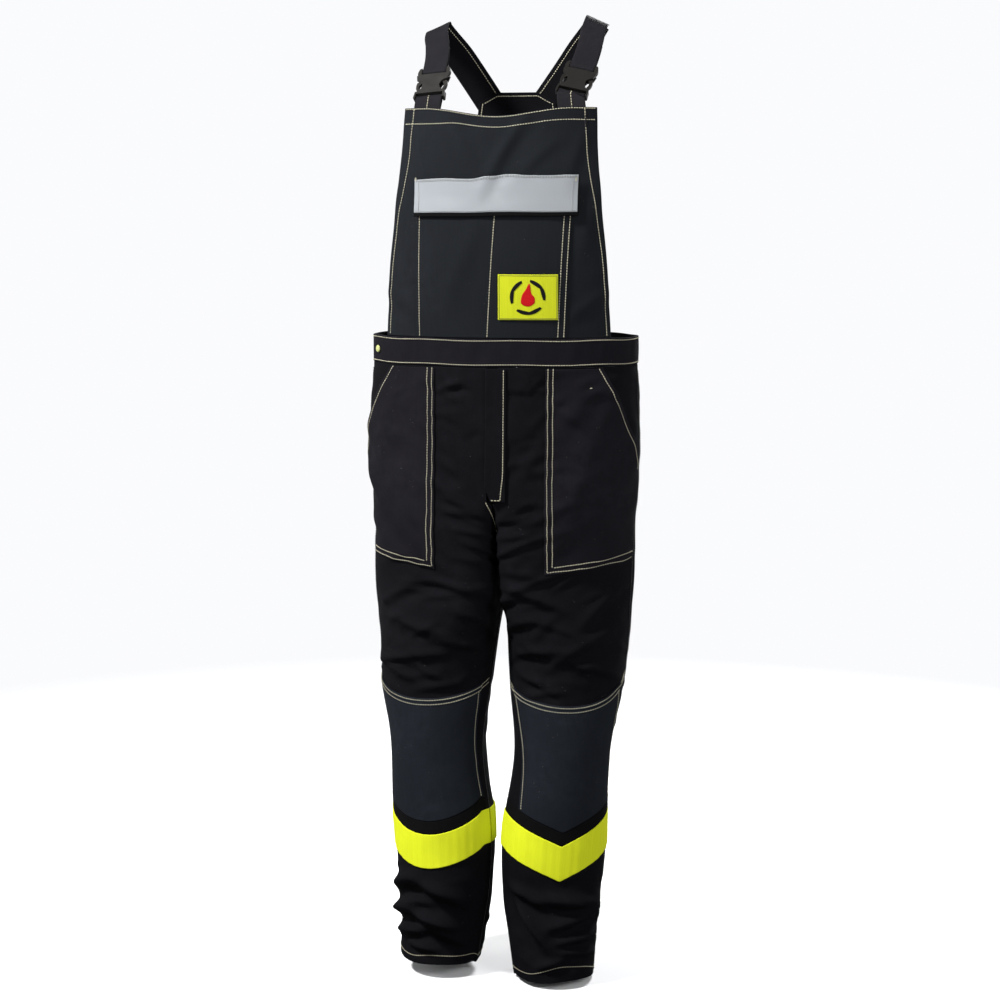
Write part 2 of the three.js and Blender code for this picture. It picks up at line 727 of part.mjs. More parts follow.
const onBib = (offset, thickness) => ({ outer: offset + thickness, inner: offset });
add(
  "chest_pocket",
  torsoPiece(-1, {
    ...bothSides(constant(pocketHalfWidth)),
    foot: constant(waistbandTop + 1),
    top: constant(waistbandTop + pocketHeight),
    ...onBib(ply, layer),
    across: 12,
    up: 5,
  }),
  materials.bibCloth,
);
const loopFoot = waistbandTop + pocketHeight - touchTapeHeight - 4;
const loopOut = ply + layer + 0.4;
const hookOut = loopOut + 1.0 + 0.4;
const flapOut = hookOut + 1.0 + 0.4;
const tapeOut = flapOut + layer + 0.4;
const flapFoot = waistbandTop + flapTopAboveWaistband - flapHeight;
for (const [name, offset] of [["pocket_loop_tape", loopOut], ["flap_hook_tape", hookOut]])
  add(
    name,
    torsoPiece(-1, {
      ...bothSides(constant(pocketHalfWidth - 12)),
      foot: constant(loopFoot),
      top: constant(loopFoot + touchTapeHeight),
      ...onBib(offset, 1.0),
      across: 16,
      up: 1,
    }),
    materials.zipTape,
  );
add(
  "chest_flap",
  torsoPiece(-1, {
    ...bothSides(constant(flapHalfWidth)),
    foot: constant(flapFoot - 5),
    top: constant(flapFoot + flapHeight),
    ...onBib(flapOut, layer),
    across: 16,
    up: 2,
  }),
  materials.bibCloth,
);
add(
  "flap_reflective_tape",
  torsoPiece(-1, {
    ...bothSides(constant(flapHalfWidth)),
    foot: constant(flapFoot),
    top: constant(flapFoot + flapHeight - 2),
    ...onBib(tapeOut, 0.7),
    across: 16,
    up: 2,
  }),
  materials.greyTape,
);
{
  // The badge is flat. It stands just clear of the pocket at its own middle and bends the cloth behind it.
  const middle = vec(9 + badgeWidth / 2, 0, waistbandTop + 30 + badgeHeight / 2);
  const on = torsoPoint(-1, middle.x, middle.z, 0);
  const [left, right] = [torsoPoint(-1, middle.x - badgeWidth / 2, middle.z), torsoPoint(-1, middle.x + badgeWidth / 2, middle.z)];
  const [low, high] = [torsoPoint(-1, middle.x, middle.z - badgeHeight / 2), torsoPoint(-1, middle.x, middle.z + badgeHeight / 2)];
  const out = right.sub(left).cross(high.sub(low)).normalize();
  const badge = add("chest_badge", toGeometry(block([-badgeWidth / 2, -0.75, -badgeHeight / 2], [badgeWidth / 2, 0.75, badgeHeight / 2])), materials.badge);
  badge.quaternion.setFromUnitVectors(vec(0, -1, 0), out);
  badge.position.copy(on).addScaledVector(out, patchOut + 0.75 + 0.5);
}

const backTopZ = waistbandTop + backPanelHeight;
const backHalf = through(
  [waistbandTop, backPanelFootHalfWidth],
  [mixOf(waistbandTop, backTopZ, 0.3), backPanelFootHalfWidth - 22],
  [mixOf(waistbandTop, backTopZ, 0.75), backPanelTopHalfWidth + 16],
  [backTopZ, backPanelTopHalfWidth],
);
const backChamfer = 34; // half the flat part of the top edge, between the two straps
const backTop = (x) => backTopZ - 0.55 * Math.max(0, Math.abs(x) - backChamfer);
add(
  "back_panel",
  torsoPiece(1, { ...bothSides(backHalf), foot: constant(waistbandTop + seam), top: backTop, outer: 0, inner: -cloth, across: 12, up: 8 }),
  materials.blackCloth,
);

// ---- Straps and buckles --------------------------------------------------------------------------------------

// A buckle's own frame: z runs up the strap from the lower edge of the female half's bar, x goes across it, and -y
// faces out. Everything in it is worked out from the webbing's width.
const frameHalf = webbing / 2 + 7; // at the mouth
const tabWidth = webbing + 4;
const tabSlotHalf = tabWidth / 2 + 0.8;
const barHalf = tabSlotHalf + 3.2; // at the bar
const slotHalf = webbing / 2 + 0.8;
const bar = { foot: 0, top: 5, half: 2.0 };
const female = { slotTop: 11, inside: 14, top: 50, half: 5.4, plate: 2.3 };
const pocketHalf = female.half - female.plate; // half the gap between the two plates
const window = { z: 27, radius: 12.5 }; // the side cut that a prong fills
const male = { foot: female.top + 0.6, slot: female.top + 4, slotTop: female.top + 9, top: female.top + 17, half: 3.6 };
const release = 35; // the male half's slide, which frees its prongs
const guide = { half: 3, thick: pocketHalf - 0.5, foot: 18 };
const prong = { root: 15, thick: pocketHalf - 0.5, width: 4.4, foot: 17, barbOut: frameHalf - 1, bow: frameHalf - 6.5 };
const loopTop = male.top + release + 9; // where the layers end, with the strap's own end sewn between them
const strapFoot = male.top + release + 1;

// The outline of a female plate: wide at the mouth, and cut in at both sides where the prongs show.
function femaleOutline() {
  const shape = new THREE.Shape();
  const waist = window.radius * 0.98;
  shape.moveTo(-barHalf, 3);
  shape.quadraticCurveTo(-barHalf, 0, -barHalf + 3, 0);
  shape.lineTo(barHalf - 3, 0);
  shape.quadraticCurveTo(barHalf, 0, barHalf, 3);
  shape.lineTo(frameHalf - 2, window.z - waist);
  shape.absarc(frameHalf, window.z, window.radius, -Math.PI / 2 - 0.17, Math.PI / 2 + 0.17, true);
  shape.lineTo(frameHalf, female.top);
  shape.lineTo(-frameHalf, female.top);
  shape.lineTo(-frameHalf + 2, window.z + waist);
  shape.absarc(-frameHalf, window.z, window.radius, Math.PI / 2 - 0.17, -Math.PI / 2 + 0.17, true);
  shape.lineTo(-barHalf, 3);
  return shape;
}

function femaleHalf() {
  const whole = plate(femaleOutline(), -female.half, female.half);
  const slot = block([-tabSlotHalf, -9, bar.top], [tabSlotHalf, 9, female.slotTop]);
  const inside = block([-frameHalf - 2, -pocketHalf, female.inside], [frameHalf + 2, pocketHalf, female.top + 2]);
  const front = block([-tabSlotHalf, -9, -1], [tabSlotHalf, -bar.half, bar.top + 0.1]);
  const behind = block([-tabSlotHalf, bar.half, -1], [tabSlotHalf, 9, bar.top + 0.1]);
  return toGeometry(whole.subtract(slot).subtract(inside).subtract(front).subtract(behind));
}

function maleHalf() {
  const half = frameHalf + 0.5;
  const shape = new THREE.Shape();
  shape.moveTo(-half + 2, male.foot);
  shape.lineTo(half - 2, male.foot);
  shape.quadraticCurveTo(half + 0.8, male.foot + 5, half - 1, male.top - 6);
  shape.quadraticCurveTo(half - 2, male.top, half - 5, male.top);
  shape.lineTo(-half + 5, male.top);
  shape.quadraticCurveTo(-half + 2, male.top, -half + 1, male.top - 6);
  shape.quadraticCurveTo(-half - 0.8, male.foot + 5, -half + 2, male.foot);
  const base = plate(shape, -male.half, male.half);
  const slot = block([-slotHalf, -9, male.slot], [slotHalf, 9, male.slotTop]);
  const front = block([-slotHalf, -9, male.slotTop - 0.1], [slotHalf, -bar.half, male.top + 1]);
  const behind = block([-slotHalf, bar.half, male.slotTop - 0.1], [slotHalf, 9, male.top + 1]);
  const nose = block([-guide.half, -guide.thick, guide.foot], [guide.half, guide.thick, male.foot + 1]);
  return toGeometry(base.subtract(slot).subtract(front).subtract(behind).add(nose));
}

// A prong is modelled where its root bends. Its barb fills the side window.
function prongShape(side) {
  const [x0, x1] = [prong.root, prong.root + prong.width];
  const shape = new THREE.Shape();
  shape.moveTo(x0, male.foot - 0.4);
  shape.lineTo(x0, male.foot - 6);
  shape.quadraticCurveTo(x0 + 0.5, prong.foot + 19, prong.bow, prong.foot + 14);
  shape.quadraticCurveTo(prong.bow + 2, prong.foot + 9, prong.bow - 1, prong.foot + 4);
  shape.lineTo(x0 + 4, prong.foot);
  shape.quadraticCurveTo(prong.barbOut, prong.foot + 1, prong.barbOut, prong.foot + 14);
  shape.lineTo(prong.barbOut - 1, prong.foot + 20);
  shape.quadraticCurveTo(x1 + 1.5, prong.foot + 21, x1, prong.foot + 26);
  shape.lineTo(x1, male.foot - 0.4);
  const g = toGeometry(plate(shape, -prong.thick, prong.thick));
  if (side > 0) return g;
  const flipped = toSolid(g).mirror([1, 0, 0]);
  return toGeometry(flipped);
}

const straightLength = loopTop + release + 3; // the strap is straight for as far as its layers slide
const tabThickness = 1.2;
const tabClearance = 1.2; // between the tab and the bib's facing
const turn = bar.half + 0.4 + tabThickness / 2; // the tab's loop round the bar

for (const [which, side] of [["left", 1], ["right", -1]]) {
  // The buckle's axes: up the strap, across it, and into the body.
  const drift = shoulderDrift / shoulderHeight + buckleDrift;
  const rise = vec(side * Math.tan(strapSplay) + drift, Math.tan(strapLean), 1).normalize();
  const tangentAt = (z) => {
    const x = side * strapInset;
    return torsoPoint(-1, x + 15, z).sub(torsoPoint(-1, x - 15, z)).normalize();
  };
  const bibTurn = Math.atan2(tangentAt(bibTopZ).y, tangentAt(bibTopZ).x);
  const yaw = strapYaw[which] * bibTurn;
  const across = vec(Math.cos(yaw), Math.sin(yaw), 0);
  across.addScaledVector(rise, -across.dot(rise)).normalize();
  const buckle = new THREE.Group();
  // The bib curves, so the flat tab hangs far enough behind it for its edges to clear the facing.
  const reach = [-1, -0.5, 0.5, 1].flatMap((t) =>
    [bibTopZ - bibFacingHeight, bibTopZ - 13].map((z) => {
      const middle = torsoPoint(-1, side * strapInset, z);
      const edge = torsoPoint(-1, middle.x + t * (tabWidth / 2) * across.x, z);
      const inward = torsoPoint(-1, middle.x, z, -1).sub(middle);
      return edge.sub(middle).addScaledVector(across, (-t * tabWidth) / 2).dot(inward);
    }),
  );
  const tabDepth = -cloth - 1.6 - tabClearance - tabThickness / 2 - Math.max(0, ...reach);
  const hang = torsoPoint(-1, side * strapInset, bibTopZ, tabDepth - turn - 1);
  buckle.quaternion.setFromRotationMatrix(
    new THREE.Matrix4().makeBasis(across, rise.clone().cross(across), rise),
  );
  buckle.position.set(hang.x, hang.y, bibTopZ + barRise[which]);
  garment.add(buckle);
  buckle.updateMatrixWorld(true);
  const inRow = (x, y, z) => vec(x, y, z).applyMatrix4(buckle.matrixWorld);

  add(`buckle_female_${which}`, femaleHalf(), materials.plastic, buckle);
  add(`buckle_male_${which}`, maleHalf(), materials.plastic, buckle);
  for (const [where, sign] of [["outer", side], ["inner", -side]])
    add(`buckle_prong_${where}_${which}`, prongShape(sign), materials.plastic, buckle);

  // The tab: a loop of webbing round the bar, whose two ends go down behind the bib.
  const tab = [];
  const station = (centre, direction = across) =>
    tab.push({ centre, across: direction, width: tabWidth });
  const behindBib = (z, depth) => {
    station(torsoPoint(-1, side * strapInset, z, depth), across);
  };
  behindBib(bibTopZ - 38, tabDepth);
  behindBib(bibTopZ - 13, tabDepth);
  station(inRow(0, -turn, -1));
  station(inRow(0, -turn, bar.top - 0.5));
  for (let k = 1; k < 5; k += 1) {
    const t = (k / 5) * Math.PI;
    station(inRow(0, -turn * Math.cos(t), bar.top - 0.5 + turn * Math.sin(t)));
  }
  station(inRow(0, turn, bar.top - 0.5));
  station(inRow(0, turn, -1));
  behindBib(bibTopZ - 13, tabDepth - tabThickness - 0.8);
  behindBib(bibTopZ - 38, tabDepth - tabThickness - 0.8);
  add(`strap_tab_${which}`, strap(tab, tabThickness), materials.webbing);

  // The strap's lower end: one layer in front of the male half's bar and one behind it, round the bar's foot.
  const layers = [];
  const addLayer = (y, z) => layers.push({ centre: inRow(0, y, z), across, width: webbing });
  addLayer(-turn, loopTop);
  addLayer(-turn, male.slotTop + 0.5);
  for (let k = 1; k < 5; k += 1) {
    const t = (k / 5) * Math.PI;
    addLayer(-turn * Math.cos(t), male.slotTop + 0.5 - turn * Math.sin(t));
  }
  addLayer(turn, male.slotTop + 0.5);
  addLayer(turn, loopTop);
  add(`strap_loop_${which}`, strap(layers, tabThickness), materials.webbing);

  // The webbing: straight between the two layers, then back to the shoulder fold and just over it.
  const fold = vec(
    side * shoulderInset + shoulderDrift,
    shoulderBack,
    bibTopZ + shoulderHeight + side * 0.45 * shoulderDrift,
  );
  const slope = vec(Math.cos(shoulderSlope), 0, -side * Math.sin(shoulderSlope));
  // It bends sideways in its own plane above the buckle, so its layers still slide along it.
  const sideways = 0.8 * fold.clone().sub(inRow(0, 0, straightLength)).dot(across);
  const rising = (z) => inRow(sideways * ((z - male.top) / (straightLength - male.top)) ** 2, 0, z);
  const start = rising(strapFoot);
  const bend = rising(straightLength);
  const along = bend.clone().sub(rising(straightLength - 1)).normalize();
  const front = [start, rising((strapFoot + straightLength) / 2), bend];
  const curve = new THREE.CubicBezierCurve3(
    bend,
    bend.clone().addScaledVector(along, 10),
    fold.clone().add(vec(0, -20, -4)),
    fold.clone().add(vec(0, -3, 0)),
  );
  for (let k = 1; k <= 7; k += 1) front.push(curve.getPoint(k / 7));
  front.push(fold.clone().add(vec(0, 3, -1.5)));
  const stations = front.map((centre, k) => {
    const t = THREE.MathUtils.smoothstep(k, 3, front.length - 2);
    return { centre, across: across.clone().lerp(slope, t).normalize(), width: webbing };
  });
  add(`strap_webbing_${which}`, strap(stations, webbingThickness), materials.webbing);

  // The cloth strap: from the fold down and in to the corner of the back panel.
  const foldBack = front.at(-1).clone().add(vec(0, 0.9, -1.4));
  const cornerX = 0.72 * backPanelTopHalfWidth;
  const corner = torsoPoint(1, side * cornerX, backTopZ - 20, 4.6);
  const fall = corner.clone().sub(foldBack).normalize();
  const level = vec(-fall.z, 0, fall.x).normalize();
  const cloth1 = [];
  for (let k = 0; k <= 7; k += 1) {
    const t = k / 7;
    const centre = foldBack.clone().lerp(corner, t);
    centre.y += 9 * Math.sin(Math.PI * t);
    cloth1.push({
      centre,
      across: slope.clone().lerp(level, THREE.MathUtils.smoothstep(t, 0, 0.4)).normalize(),
      width: mixOf(webbing, clothStrap, THREE.MathUtils.smoothstep(t, 0, 0.4)),
    });
  }
  add(`back_strap_${which}`, strap(cloth1, 2.4), materials.blackCloth);
}

// ---- The part's frame: the middle of the floor below it -------------------------------------------------------

garment.updateMatrixWorld(true);
const bounds = new THREE.Box3().setFromObject(garment, true);
garment.position.set(
  -(bounds.min.x + bounds.max.x) / 2,
  -(bounds.min.y + bounds.max.y) / 2,
  -bounds.min.z,
);

export default garment;
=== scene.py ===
import json
import math

import bpy
import numpy as np
from mathutils import Matrix, Vector


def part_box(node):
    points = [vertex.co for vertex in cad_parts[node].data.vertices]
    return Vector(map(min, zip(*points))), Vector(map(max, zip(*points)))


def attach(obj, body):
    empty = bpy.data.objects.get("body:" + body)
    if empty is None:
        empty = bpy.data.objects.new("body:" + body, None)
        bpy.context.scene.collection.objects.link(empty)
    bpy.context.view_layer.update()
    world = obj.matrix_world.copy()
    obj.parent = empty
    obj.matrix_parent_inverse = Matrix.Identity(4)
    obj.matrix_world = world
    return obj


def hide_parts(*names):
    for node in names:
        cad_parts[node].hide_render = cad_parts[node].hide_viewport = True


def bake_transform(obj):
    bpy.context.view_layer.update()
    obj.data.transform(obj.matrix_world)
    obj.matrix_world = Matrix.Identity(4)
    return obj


# Black bib-and-brace work trousers on an unseen wearer. Metres, +Z up, the front faces -Y and
# +X is the wearer's left.
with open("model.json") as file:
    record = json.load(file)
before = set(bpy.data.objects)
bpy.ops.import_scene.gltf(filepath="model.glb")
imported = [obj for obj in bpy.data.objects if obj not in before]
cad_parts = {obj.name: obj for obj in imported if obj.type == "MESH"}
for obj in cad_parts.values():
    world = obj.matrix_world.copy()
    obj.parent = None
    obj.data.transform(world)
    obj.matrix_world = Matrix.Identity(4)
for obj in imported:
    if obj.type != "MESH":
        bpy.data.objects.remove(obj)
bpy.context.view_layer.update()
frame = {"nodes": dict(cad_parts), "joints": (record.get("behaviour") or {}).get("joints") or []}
scene = bpy.context.scene
joints = {j["name"]: j for j in frame["joints"]}
sides = {"left": 1, "right": -1}

# The garment's own axis and floor, taken from the waistband.
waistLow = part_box("front_waistband")[0]
waistMiddleY = (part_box("front_waistband")[0].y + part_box("back_waistband")[1].y) / 2
waistZ = 1.008
origin = np.array([0.0, waistMiddleY, waistLow.z - waistZ])

# camera and light

cameraSetup = {
    "turn": 10,  # degrees towards the wearer's left
    "distance": 3.4,
    "height": 1.27,
    "aim": (-0.008, -0.001, 0.78),
    "lens": 75.06,
}


def makeCamera(setup):
    turn = math.radians(setup["turn"])
    aim = Vector(setup["aim"]) + Vector(origin)
    place = aim + Vector((math.sin(turn), -math.cos(turn), 0)) * setup["distance"]
    place.z = setup["height"] + origin[2]
    camera = bpy.data.objects.new("camera", bpy.data.cameras.new("camera"))
    camera.data.lens = setup["lens"]
    camera.data.sensor_width = 36
    camera.data.clip_end = 60
    camera.location = place
    camera.rotation_euler = (aim - place).to_track_quat("-Z", "Y").to_euler()
    scene.collection.objects.link(camera)
    scene.camera = camera


makeCamera(cameraSetup)

lamps = {
    "key": {"at": (-1.9, -1.5, 3.4), "size": 0.6, "power": 265},
    "fill": {"at": (2.6, -2.2, 2.2), "size": 1.4, "power": 62},
    "side": {"at": (-3.0, -0.1, 1.3), "size": 1.4, "power": 22},
    "back": {"at": (0.9, 2.6, 2.9), "size": 1.2, "power": 170},
}
for lampName, lamp in lamps.items():
    light = bpy.data.lights.new(lampName, "AREA")
    light.shape = "DISK"
    light.size = lamp["size"]
    light.energy = lamp["power"]
    lampObject = bpy.data.objects.new(lampName, light)
    lampObject.location = lamp["at"]
    towards = Vector((0, 0, 0.85)) - lampObject.location
    lampObject.rotation_euler = towards.to_track_quat("-Z", "Y").to_euler()
    scene.collection.objects.link(lampObject)

world = bpy.data.worlds.new("studio")
world.use_nodes = True
sky = world.node_tree.nodes["Background"]
skyWay = world.node_tree.nodes.new("ShaderNodeTexCoord")
skySplit = world.node_tree.nodes.new("ShaderNodeSeparateXYZ")
skyBand = world.node_tree.nodes.new("ShaderNodeMapRange")
skyBand.inputs["From Min"].default_value = 0.10
skyBand.inputs["From Max"].default_value = 0.24
skyBand.inputs["To Min"].default_value = 0.98
skyBand.inputs["To Max"].default_value = 0.14
world.node_tree.links.new(skyWay.outputs["Generated"], skySplit.inputs[0])
world.node_tree.links.new(skySplit.outputs[2], skyBand.inputs["Value"])
world.node_tree.links.new(skyBand.outputs["Result"], sky.inputs["Strength"])
sky.inputs["Color"].default_value = (0.98, 0.985, 1.0, 1)
scene.world = world
scene.view_settings.view_transform = "Standard"
scene.view_settings.look = "None"
print("camera and light are set")

# shader groups


def linear(r, g, b):
    def one(v):
        v = v / 255
        return v / 12.92 if v <= 0.04045 else ((v + 0.055) / 1.055) ** 2.4

    return (one(r), one(g), one(b), 1)


class Nodes:
    # A short way to add and join nodes in one tree.
    def __init__(self, tree):
        self.tree = tree

    def add(self, kind, **settings):
        node = self.tree.nodes.new(kind)
        for key, value in settings.items():
            setattr(node, key, value)
        return node

    def join(self, a, b):
        self.tree.links.new(a, b)

    def math(self, operation, a, b=None, c=None):
        node = self.add("ShaderNodeMath", operation=operation)
        for socket, value in zip(node.inputs, (a, b, c)):
            if value is None:
                continue
            if isinstance(value, (int, float)):
                socket.default_value = value
            else:
                self.join(value, socket)
        return node.outputs[0]

    def mix(self, factor, a, b, blend="MIX"):
        node = self.add("ShaderNodeMix", data_type="RGBA", blend_type=blend)
        for socket, value in zip((node.inputs[0], node.inputs[6], node.inputs[7]), (factor, a, b)):
            if isinstance(value, (int, float)):
                socket.default_value = value
            elif isinstance(value, tuple):
                socket.default_value = value
            else:
                self.join(value, socket)
        return node.outputs[2]

    def noise(self, vector, scale, detail=2.0, rough=0.5):
        node = self.add("ShaderNodeTexNoise")
        node.inputs["Scale"].default_value = scale
        node.inputs["Detail"].default_value = detail
        node.inputs["Roughness"].default_value = rough
        self.join(vector, node.inputs["Vector"])
        return node.outputs["Fac"]

    def ramp(self, value, low, high):
        node = self.add("ShaderNodeMapRange", clamp=True)
        node.inputs["From Min"].default_value = low
        node.inputs["From Max"].default_value = high
        self.join(value, node.inputs["Value"])
        return node.outputs["Result"]


def newGroup(name, inputs, outputs):
    group = bpy.data.node_groups.new(name, "ShaderNodeTree")
    for label, kind, value in inputs:
        socket = group.interface.new_socket(label, in_out="INPUT", socket_type=kind)
        if value is not None:
            socket.default_value = value
    for label, kind in outputs:
        group.interface.new_socket(label, in_out="OUTPUT", socket_type=kind)
    nodes = Nodes(group)
    return group, nodes, nodes.add("NodeGroupInput").outputs, nodes.add("NodeGroupOutput").inputs


def makeWeaveGroup():
    # Twill: warp threads that step sideways by one at each pick. Plain: the same with no step.
    group, n, given, result = newGroup(
        "weave",
        [
            ("Vector", "NodeSocketVector", None),
            ("Color", "NodeSocketColor", (0.02, 0.02, 0.02, 1)),
            ("Threads", "NodeSocketFloat", 900.0),
            ("Step", "NodeSocketFloat", 1.0),
            ("Contrast", "NodeSocketFloat", 0.3),
            ("Slub", "NodeSocketFloat", 0.24),
        ],
        [("Color", "NodeSocketColor"), ("Height", "NodeSocketFloat")],
    )
    split = n.add("ShaderNodeSeparateXYZ")
    wobble = n.add("ShaderNodeVectorMath", operation="SCALE")
    noiseColor = n.add("ShaderNodeTexNoise")
    noiseColor.inputs["Scale"].default_value = 90
    n.join(given["Vector"], noiseColor.inputs["Vector"])
    n.join(noiseColor.outputs["Color"], wobble.inputs[0])
    wobble.inputs["Scale"].default_value = 0.0009
    shifted = n.add("ShaderNodeVectorMath", operation="ADD")
    n.join(given["Vector"], shifted.inputs[0])
    n.join(wobble.outputs[0], shifted.inputs[1])
    n.join(shifted.outputs[0], split.inputs[0])
    across = n.math("MULTIPLY", split.outputs[0], given["Threads"])
    along = n.math("MULTIPLY", split.outputs[1], given["Threads"])
    stepped = n.math("MULTIPLY_ADD", along, given["Step"], across)
    rib = n.math("SINE", n.math("MULTIPLY", stepped, 2 * math.pi))
    pick = n.math("SINE", n.math("MULTIPLY", along, 2 * math.pi))
    height = n.math("MULTIPLY_ADD", rib, 0.35, 0.5)
    height = n.math("MULTIPLY_ADD", pick, 0.15, height)
    fuzz = n.noise(given["Vector"], 2600, 1.0)
    height = n.math("MULTIPLY_ADD", n.math("SUBTRACT", fuzz, 0.5), 0.5, height)
    shade = n.math("MULTIPLY_ADD", n.math("SUBTRACT", height, 0.5), given["Contrast"], 1.0)
    # yarns differ a little, in long streaks both ways
    streak = n.add("ShaderNodeVectorMath", operation="MULTIPLY")
    streak.inputs[1].default_value = (420, 14, 1)
    n.join(given["Vector"], streak.inputs[0])
    slub = n.noise(streak.outputs[0], 1.0, 1.0)
    shade = n.math(
        "MULTIPLY", shade, n.math("MULTIPLY_ADD", n.math("SUBTRACT", slub, 0.5), given["Slub"], 1.0),
    )
    tint = n.add("ShaderNodeCombineXYZ")
    for k in range(3):
        n.join(shade, tint.inputs[k])
    n.join(n.mix(1.0, given["Color"], tint.outputs[0], "MULTIPLY"), result["Color"])
    n.join(height, result["Height"])
    return group


def makeWearGroup():
    # Uneven dye, rubbed patches and specks of lint.
    group, n, given, result = newGroup(
        "wear",
        [
            ("Vector", "NodeSocketVector", None),
            ("Color", "NodeSocketColor", (0.02, 0.02, 0.02, 1)),
            ("Rubbed", "NodeSocketColor", (0.06, 0.06, 0.07, 1)),
            ("Amount", "NodeSocketFloat", 0.25),
            ("Lint", "NodeSocketFloat", 0.3),
            ("Roughness", "NodeSocketFloat", 0.85),
        ],
        [("Color", "NodeSocketColor"), ("Roughness", "NodeSocketFloat")],
    )
    broad = n.noise(given["Vector"], 7.0, 3.0, 0.6)
    fine = n.noise(given["Vector"], 60.0, 3.0, 0.65)
    mask = n.math("MULTIPLY", n.ramp(broad, 0.42, 0.72), n.ramp(fine, 0.35, 0.75))
    mask = n.math("MULTIPLY", mask, given["Amount"])
    color = n.mix(mask, given["Color"], given["Rubbed"])
    cells = n.add("ShaderNodeTexVoronoi")
    cells.inputs["Scale"].default_value = 150
    n.join(given["Vector"], cells.inputs["Vector"])
    speck = n.math("LESS_THAN", cells.outputs["Distance"], 0.06)
    rare = n.math("GREATER_THAN", n.noise(given["Vector"], 34.0, 1.0), 0.62)
    speck = n.math("MULTIPLY", n.math("MULTIPLY", speck, rare), given["Lint"])
    color = n.mix(speck, color, (0.35, 0.34, 0.31, 1))
    n.join(color, result["Color"])
    rough = n.math("MULTIPLY_ADD", n.math("SUBTRACT", fine, 0.5), 0.16, given["Roughness"])
    n.join(n.math("SUBTRACT", rough, n.math("MULTIPLY", mask, 0.12)), result["Roughness"])
    return group


weaveGroup = makeWeaveGroup()
wearGroup = makeWearGroup()


def placeGroup(n, group, **values):
    node = n.add("ShaderNodeGroup", node_tree=group)
    for key, value in values.items():
        if isinstance(value, bpy.types.NodeSocket):
            n.join(value, node.inputs[key])
        else:
            node.inputs[key].default_value = value
    return node.outputs


def clothMaterial(name, look):
    material = bpy.data.materials.new(name)
    material.use_nodes = True
    n = Nodes(material.node_tree)
    shader = n.tree.nodes["Principled BSDF"]
    uv = n.add("ShaderNodeUVMap", uv_map="clothUv").outputs[0]
    place = n.add("ShaderNodeTexCoord").outputs["Object"]
    weave = placeGroup(
        n,
        weaveGroup,
        Vector=uv,
        Color=look["color"],
        Threads=look["threads"],
        Step=look.get("step", 1.0),
        Contrast=look.get("contrast", 0.5),
        Slub=look.get("slub", 0.24),
    )
    wear = placeGroup(
        n,
        wearGroup,
        Vector=place,
        Color=weave["Color"],
        Rubbed=look["rubbed"],
        Amount=look.get("wear", 0.3),
        Lint=look.get("lint", 0.25),
        Roughness=look["roughness"],
    )
    n.join(wear["Color"], shader.inputs["Base Color"])
    n.join(wear["Roughness"], shader.inputs["Roughness"])
    crumple = n.noise(place, look.get("crumpleScale", 45), 4.0, 0.6)
    height = n.math("MULTIPLY_ADD", crumple, look.get("crumple", 3.0), weave["Height"])
    bump = n.add("ShaderNodeBump")
    bump.inputs["Strength"].default_value = look.get("bump", 0.35)
    bump.inputs["Distance"].default_value = look.get("depth", 0.0003)
    n.join(height, bump.inputs["Height"])
    n.join(bump.outputs[0], shader.inputs["Normal"])
    shader.inputs["Specular IOR Level"].default_value = look.get("specular", 0.04)
    shader.inputs["Sheen Weight"].default_value = look.get("sheen", 0.0)
    shader.inputs["Sheen Roughness"].default_value = 0.5
    return material


